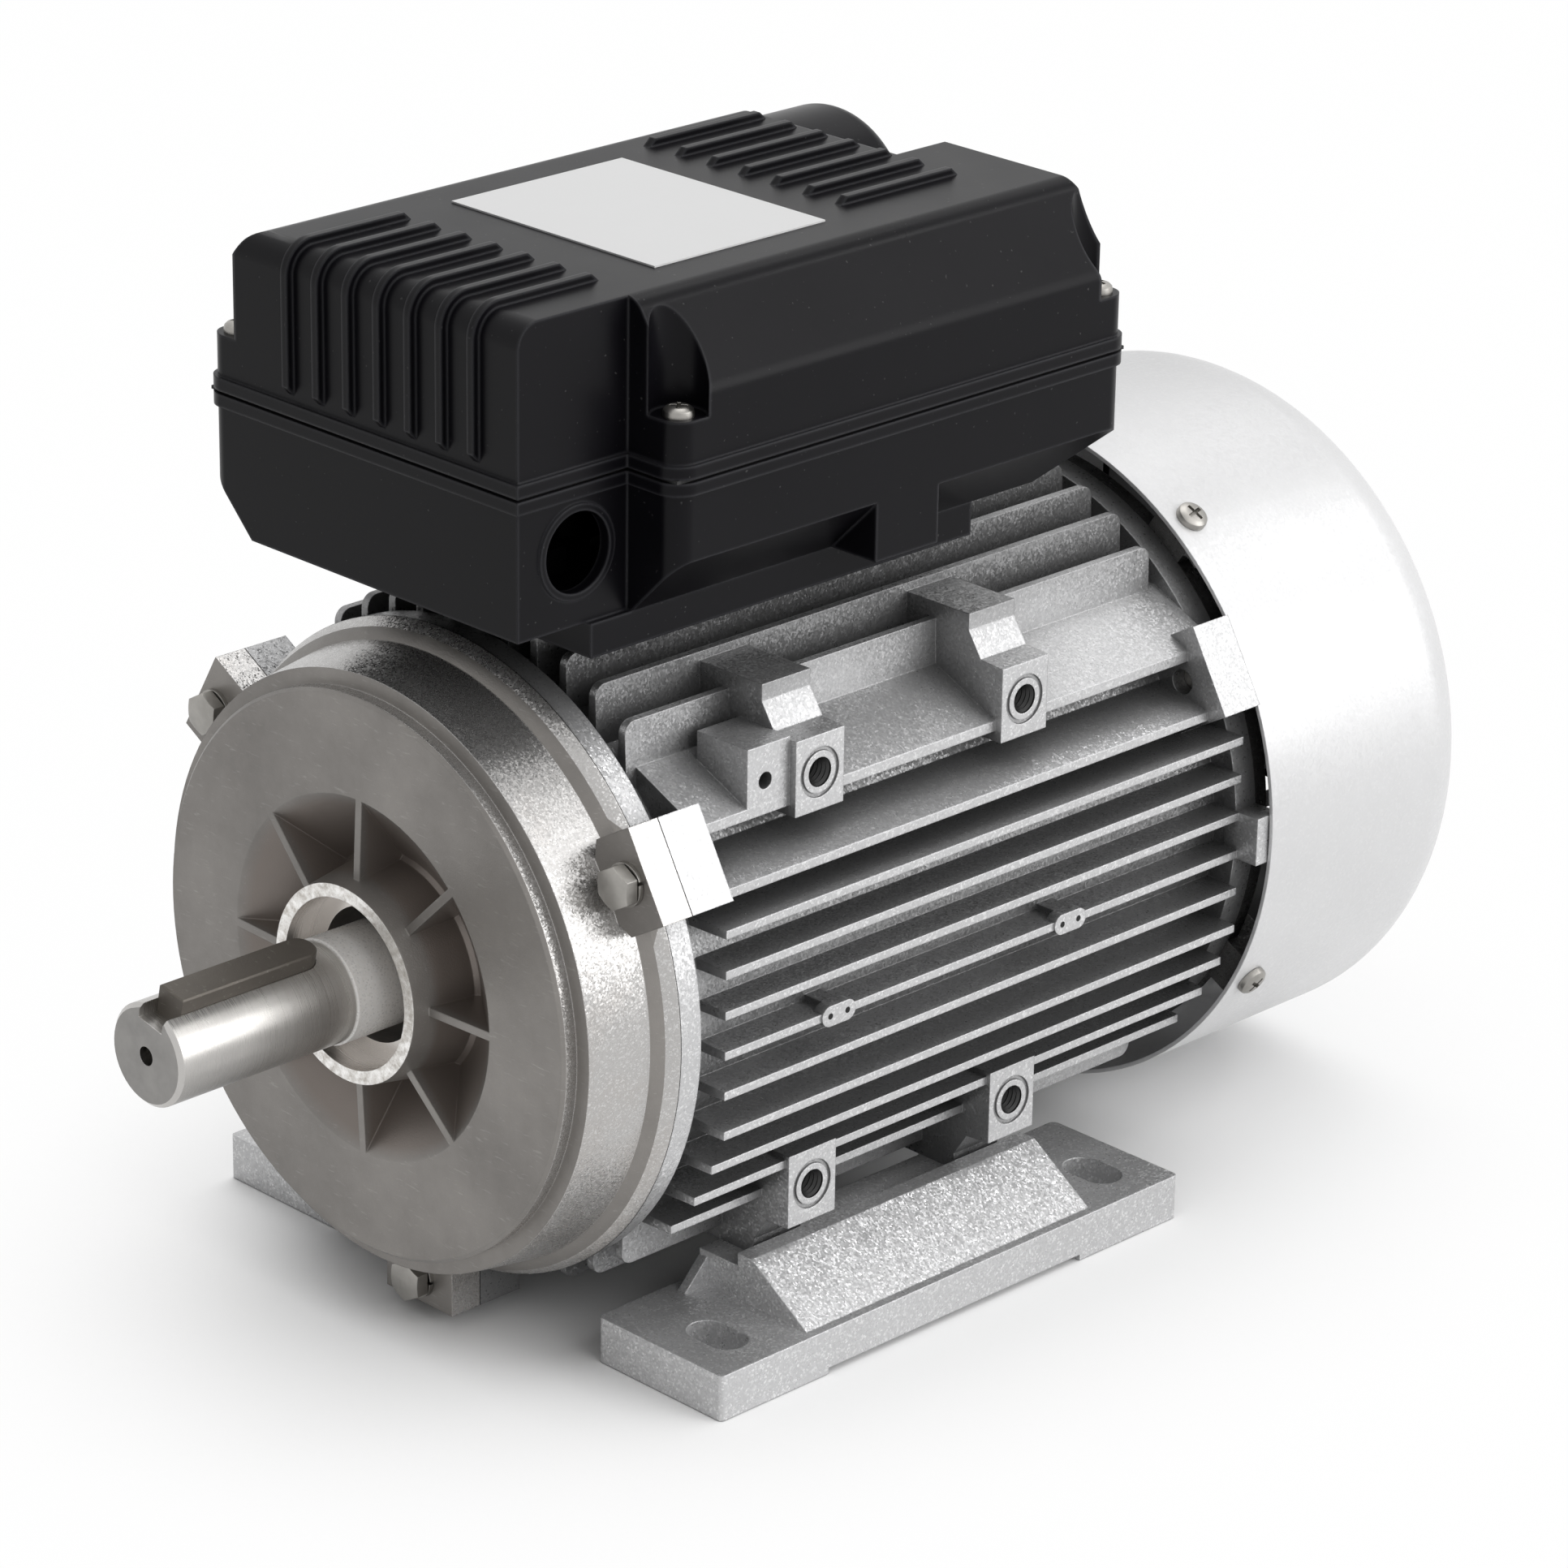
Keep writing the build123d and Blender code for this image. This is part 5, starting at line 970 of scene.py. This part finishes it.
class MOTOR_OT_shaft(bpy.types.Operator):
    """Dress the shaft with its ground end and rough neck, and the key"""

    bl_idname = "motor.shaft"
    bl_label = "Shaft and key"

    def execute(self, context):
        shaft = dress("shaft", "shaft_ground", finish("shaft"), angle=32)
        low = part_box("shaft")[0].y

        def is_neck(centre, normal):
            return low + GROUND_LENGTH - 0.1 * MM < centre.y < low + NECK_END

        def is_end(centre, normal):
            return centre.y < low + 0.2 * MM or (centre.y < low + GROUND_LENGTH and abs(normal.y) > 0.9)

        second_finish(shaft, finish("neck"), is_neck)
        second_finish(shaft, finish("shaft end"), is_end)
        dress("shaft_key", "key_drawn", finish("key"), angle=30)
        return {"FINISHED"}


class MOTOR_OT_terminal_box(bpy.types.Operator):
    """Dress the terminal box, its lid and the bare label plate"""

    bl_idname = "motor.terminal_box"
    bl_label = "Terminal box"

    def execute(self, context):
        dress("terminal_box_base", "box_base_moulding", finish("box"))
        dress("terminal_box_lid", "box_lid_moulding", finish("box"))
        dress("label_plate", "label_bare_plate", finish("label"))
        return {"FINISHED"}


class MOTOR_OT_fan_cover(bpy.types.Operator):
    """Dress the fan cover and the fan"""

    bl_idname = "motor.fan_cover"
    bl_label = "Fan cover"

    def execute(self, context):
        dress("fan_cover", "fan_cover_pressing", finish("cover"))
        dress("fan", "fan_moulding", finish("inner plastic"))
        return {"FINISHED"}


class MOTOR_OT_fasteners(bpy.types.Operator):
    """Hexagon bolts with spring washers, and cross recessed screws"""

    bl_idname = "motor.fasteners"
    bl_label = "Fasteners"

    def execute(self, context):
        zinc = finish("zinc")
        size = context.scene.motor_steel
        for end, sign in (("front", -1.0), ("rear", 1.0)):
            bolts, washers = [], []
            for points in islands(end + "_shield_bolts"):
                centre = middle(points)
                tip = sign * max(sign * p.y for p in points)
                seat = tip - sign * size.bolt_head_height
                spin = math.atan2(centre.z - SHAFT_HEIGHT, centre.x)
                bolts.append(((centre.x, seat, centre.z), (0, sign, 0), spin))
            for points in islands(end + "_shield_washers"):
                centre = middle(points)
                near = min(sign * p.y for p in points) * sign
                washers.append(((centre.x, near, centre.z), (0, sign, 0), 2.0 * centre.x / MM))
            length = min(extent(points, 1) for points in islands(end + "_shield_bolts"))
            shape = hexagon_bolt("hexagon_bolt", size.bolt_flats, size.bolt_head_height, size.bolt_radius,
                                 length - size.bolt_head_height, zinc)
            set_copies(end + "_hexagon_bolts", shape, bolts, zinc, "frame", (end + "_shield_bolts",))
            ring = split_ring("split_ring", size.bolt_radius + 0.05 * MM, size.bolt_radius + 2.1 * MM,
                              1.15 * MM, 0.2 * MM, zinc)
            set_copies(end + "_spring_washers", ring, washers, zinc, "frame", (end + "_shield_washers",))
        screws = []
        for number, points in enumerate(islands("lid_screws")):
            centre = middle(points)
            top = max(p.z for p in points)
            screws.append(((centre.x, centre.y, top - size.lid_head_height), (0, 0, 1), 0.5 + 0.9 * number))
        length = extent(islands("lid_screws")[0], 2)
        shape = cross_screw("lid_screw", size.lid_head_radius, size.lid_head_height, 2.0 * MM,
                            length - size.lid_head_height, zinc)
        set_copies("lid_cross_screws", shape, screws, zinc, "frame", ("lid_screws",))
        screws = []
        for number, points in enumerate(islands("fan_cover_screws")):
            centre = middle(points)
            out = Vector((centre.x, 0, centre.z - SHAFT_HEIGHT)).normalized()
            far = max(Vector((p.x, 0, p.z - SHAFT_HEIGHT)).dot(out) for p in points)
            place = Vector((0, centre.y, SHAFT_HEIGHT)) + out * (far - size.cover_head_height)
            screws.append((tuple(place), tuple(out), 0.4 + 0.7 * number))
        shape = cross_screw("cover_screw", size.cover_head_radius, size.cover_head_height, 2.0 * MM,
                            8.5 * MM, zinc, flat=0.2)
        set_copies("cover_cross_screws", shape, screws, zinc, "frame", ("fan_cover_screws",))
        return {"FINISHED"}


class MOTOR_OT_threads(bpy.types.Operator):
    """Dark threads of painted shade in the pad holes, and near-black discs of painted shade for the small
    holes of the tabs
    """

    bl_idname = "motor.threads"
    bl_label = "Threads and small holes"

    def execute(self, context):
        size = context.scene.motor_steel
        cast = context.scene.motor_cast
        profile = []
        start, root, crest = -0.5 * MM, cast.pad_hole_radius - 0.02 * MM, cast.pad_hole_radius - 0.5 * MM
        turns = int(11 * MM / size.thread_pitch)
        for k in range(turns):
            profile.append((root, start - k * size.thread_pitch))
            profile.append((crest, start - (k + 0.5) * size.thread_pitch))
        thread = lathe("thread", profile, 40, finish("thread"))
        places = [((side * cast.pad_face, y, SHAFT_HEIGHT + z), (side, 0, 0), 0.0)
                  for side in (1, -1) for y in (-cast.pad_pitch / 2, cast.pad_pitch / 2)
                  for z in (-cast.pad_drop, cast.pad_drop)]
        set_copies("pad_threads", thread, places, finish("thread"), "frame")
        # the tab holes are shallow near-black discs: painted shade standing for holes
        mouth, bottom = 0.02 * MM, -0.3 * MM
        outline = [(0, mouth), (0.75 * MM, mouth), (0.8 * MM, bottom), (0, bottom)]
        hole = lathe("tab_hole", outline, 24, finish("painted hole shade"))
        apart = 2.7 * MM
        places = [((side * cast.tab_face, y + step * apart, cast.tab_height), (side, 0, 0), 0.0)
                  for side in (1, -1) for y in (cast.tab_front, cast.tab_rear) for step in (-1, 1)]
        set_copies("tab_holes", hole, places, finish("painted hole shade"), "frame")
        return {"FINISHED"}


class MOTOR_OT_inside(bpy.types.Operator):
    """Finish the pieces inside the housing and the terminal box"""

    bl_idname = "motor.inside"
    bl_label = "Inner pieces"

    def execute(self, context):
        plain = {
            "bearing": ("bearing_outer_rings", "bearing_inner_rings", "wave_washer", "fan_clip"),
            "neck": ("governor_hub", "flyweight_right", "flyweight_left"),
            "sheet": ("stator_core", "rotor_core"),
            "wire": ("main_winding", "start_winding"),
            "cage": ("rotor_cage",),
            "inner plastic": ("capacitor_cradles", "terminal_board", "lead_sleeve", "governor_collar"),
            "rubber": ("base_gasket", "lid_gasket"),
            "brass": ("terminal_studs", "terminal_links", "terminal_nuts", "switch_arm"),
            "can": ("start_capacitor", "run_capacitor"),
            "laminate": ("start_switch_plate",),
            "zinc": ("base_screws", "foot_screws"),
        }
        for name, nodes in plain.items():
            for node in nodes:
                finish_node(node, finish(name))
        return {"FINISHED"}


class MOTOR_OT_stage(bpy.types.Operator):
    """Pale floor, soft lamps and the camera"""

    bl_idname = "motor.stage"
    bl_label = "Studio"

    def execute(self, context):
        settings = context.scene.motor_stage
        self.floor(settings)
        self.world(settings)
        self.lamp("key_lamp", (1.95, 0.35, 1.5), 2.0, settings.key_power)
        self.lamp("side_lamp", (2.0, 1.3, 0.8), 1.4, settings.side_power)
        self.lamp("top_lamp", (-0.5, 0.7, 2.4), 1.6, settings.top_power)
        self.lamp("glint_lamp", (0.95, 1.65, 1.65), 0.34, settings.glint_power)
        self.camera(settings)
        context.scene.view_settings.view_transform = "Standard"
        return {"FINISHED"}

    def floor(self, settings):
        """A pale floor that shows white, but keeps the object's shadow."""
        floor = bpy.data.meshes.new("studio floor")
        reach = 6.0
        floor.from_pydata([(-reach, -reach, 0), (reach, -reach, 0), (reach, reach, 0), (-reach, reach, 0)],
                          [], [(0, 1, 2, 3)])
        pale = Shades("pale floor")
        colour = tuple(settings.floor_colour)
        tone = pale.tint(pale.noise(0.8, detail=2.0), 0.3, 0.7, darker(colour, 0.99), colour)
        pale.set(colour=tone, roughness=0.9, specular=0.1)
        clear = pale.spread(pale.openness(settings.shadow_reach, 12), 0.3, 0.82, 0.0, 0.99)
        white = pale.add("ShaderNodeEmission")
        white.inputs["Strength"].default_value = 1.0
        mask = pale.combine("MULTIPLY", pale.seen(), clear)
        pale.shown(mask, pale.shader, white, pale.out)
        floor.materials.append(pale.material)
        ground = linked("studio_floor", floor)
        ground.location.z = -0.2 * MM

    def world(self, settings):
        """White surroundings for the camera, and a soft light from one side for the object."""
        world = bpy.data.worlds.new("studio")
        bpy.context.scene.world = world
        world.use_nodes = True
        n = Nodes(world.node_tree)
        white, light = n.add("ShaderNodeBackground"), n.add("ShaderNodeBackground")
        for background in (white, light):
            background.inputs["Color"].default_value = (1, 1, 1, 1)
        white.inputs["Strength"].default_value = 1.0
        place = n.add("ShaderNodeTexCoord").outputs["Generated"]
        lean = n.vector("DOT_PRODUCT", place, settings.light_from, result="Value")
        power = n.spread(lean, -0.25, 0.85, settings.dark_side, settings.ambient * 2.0, curve="SMOOTHSTEP")
        n.feed(power, light, "Strength")
        n.shown(n.seen(), light, white, n.add("ShaderNodeOutputWorld"))

    def lamp(self, name, place, size, power):
        """A square lamp that faces the middle of the motor."""
        data = bpy.data.lights.new(name, "AREA")
        data.shape = "SQUARE"
        data.size = size
        data.energy = power
        lamp = linked(name, data)
        lamp.location = place
        target = Vector((0.0, 0.0, 0.1))
        lamp.rotation_euler = (target - Vector(place)).to_track_quat("-Z", "Y").to_euler()

    def camera(self, settings):
        """The camera at the place and in the direction that were found from the photo."""
        data = bpy.data.cameras.new("photo camera")
        data.lens = settings.lens
        data.sensor_width = 36.0
        data.clip_start = 0.05
        data.clip_end = 50.0
        camera = linked("photo_camera", data)
        right = Vector((0.70213274, 0.71187631, 0.01554786))
        up = Vector((-0.27850781, 0.25446896, 0.92610958))
        back = Vector((0.65531902, -0.65458205, 0.3769341))
        turn = Matrix((right, up, back)).transposed().to_4x4()
        turn.translation = Vector((0.92233237, -0.89553670, 0.63093780))
        camera.matrix_world = turn
        bpy.context.scene.camera = camera


class MOTOR_PT_panel(bpy.types.Panel):
    """Buttons and sizes of the motor"""

    bl_label = "Motor"
    bl_idname = "MOTOR_PT_panel"
    bl_space_type = "VIEW_3D"
    bl_region_type = "UI"
    bl_category = "Motor"

    def draw(self, context):
        for operator in OPERATORS:
            self.layout.operator(operator.bl_idname)
        for group in GROUPS:
            settings = getattr(context.scene, group)
            column = self.layout.column(align=True)
            for name in settings.__annotations__:
                column.prop(settings, name)


OPERATORS = (
    MOTOR_OT_finishes,
    MOTOR_OT_housing,
    MOTOR_OT_shields,
    MOTOR_OT_shaft,
    MOTOR_OT_terminal_box,
    MOTOR_OT_fan_cover,
    MOTOR_OT_fasteners,
    MOTOR_OT_threads,
    MOTOR_OT_inside,
    MOTOR_OT_stage,
)
GROUPS = {
    "motor_cast": MotorCastSettings,
    "motor_plastic": MotorPlasticSettings,
    "motor_steel": MotorSteelSettings,
    "motor_stage": MotorStageSettings,
}
CLASSES = tuple(GROUPS.values()) + OPERATORS + (MOTOR_PT_panel,)


def register():
    for part in CLASSES:
        bpy.utils.register_class(part)
    for name, group in GROUPS.items():
        setattr(bpy.types.Scene, name, bpy.props.PointerProperty(type=group))


def unregister():
    for name in GROUPS:
        delattr(bpy.types.Scene, name)
    for part in reversed(CLASSES):
        bpy.utils.unregister_class(part)


def main():
    register()
    for operator in OPERATORS:
        group, name = operator.bl_idname.split(".")
        getattr(getattr(bpy.ops, group), name)()


if __name__ == "__main__":
    main()
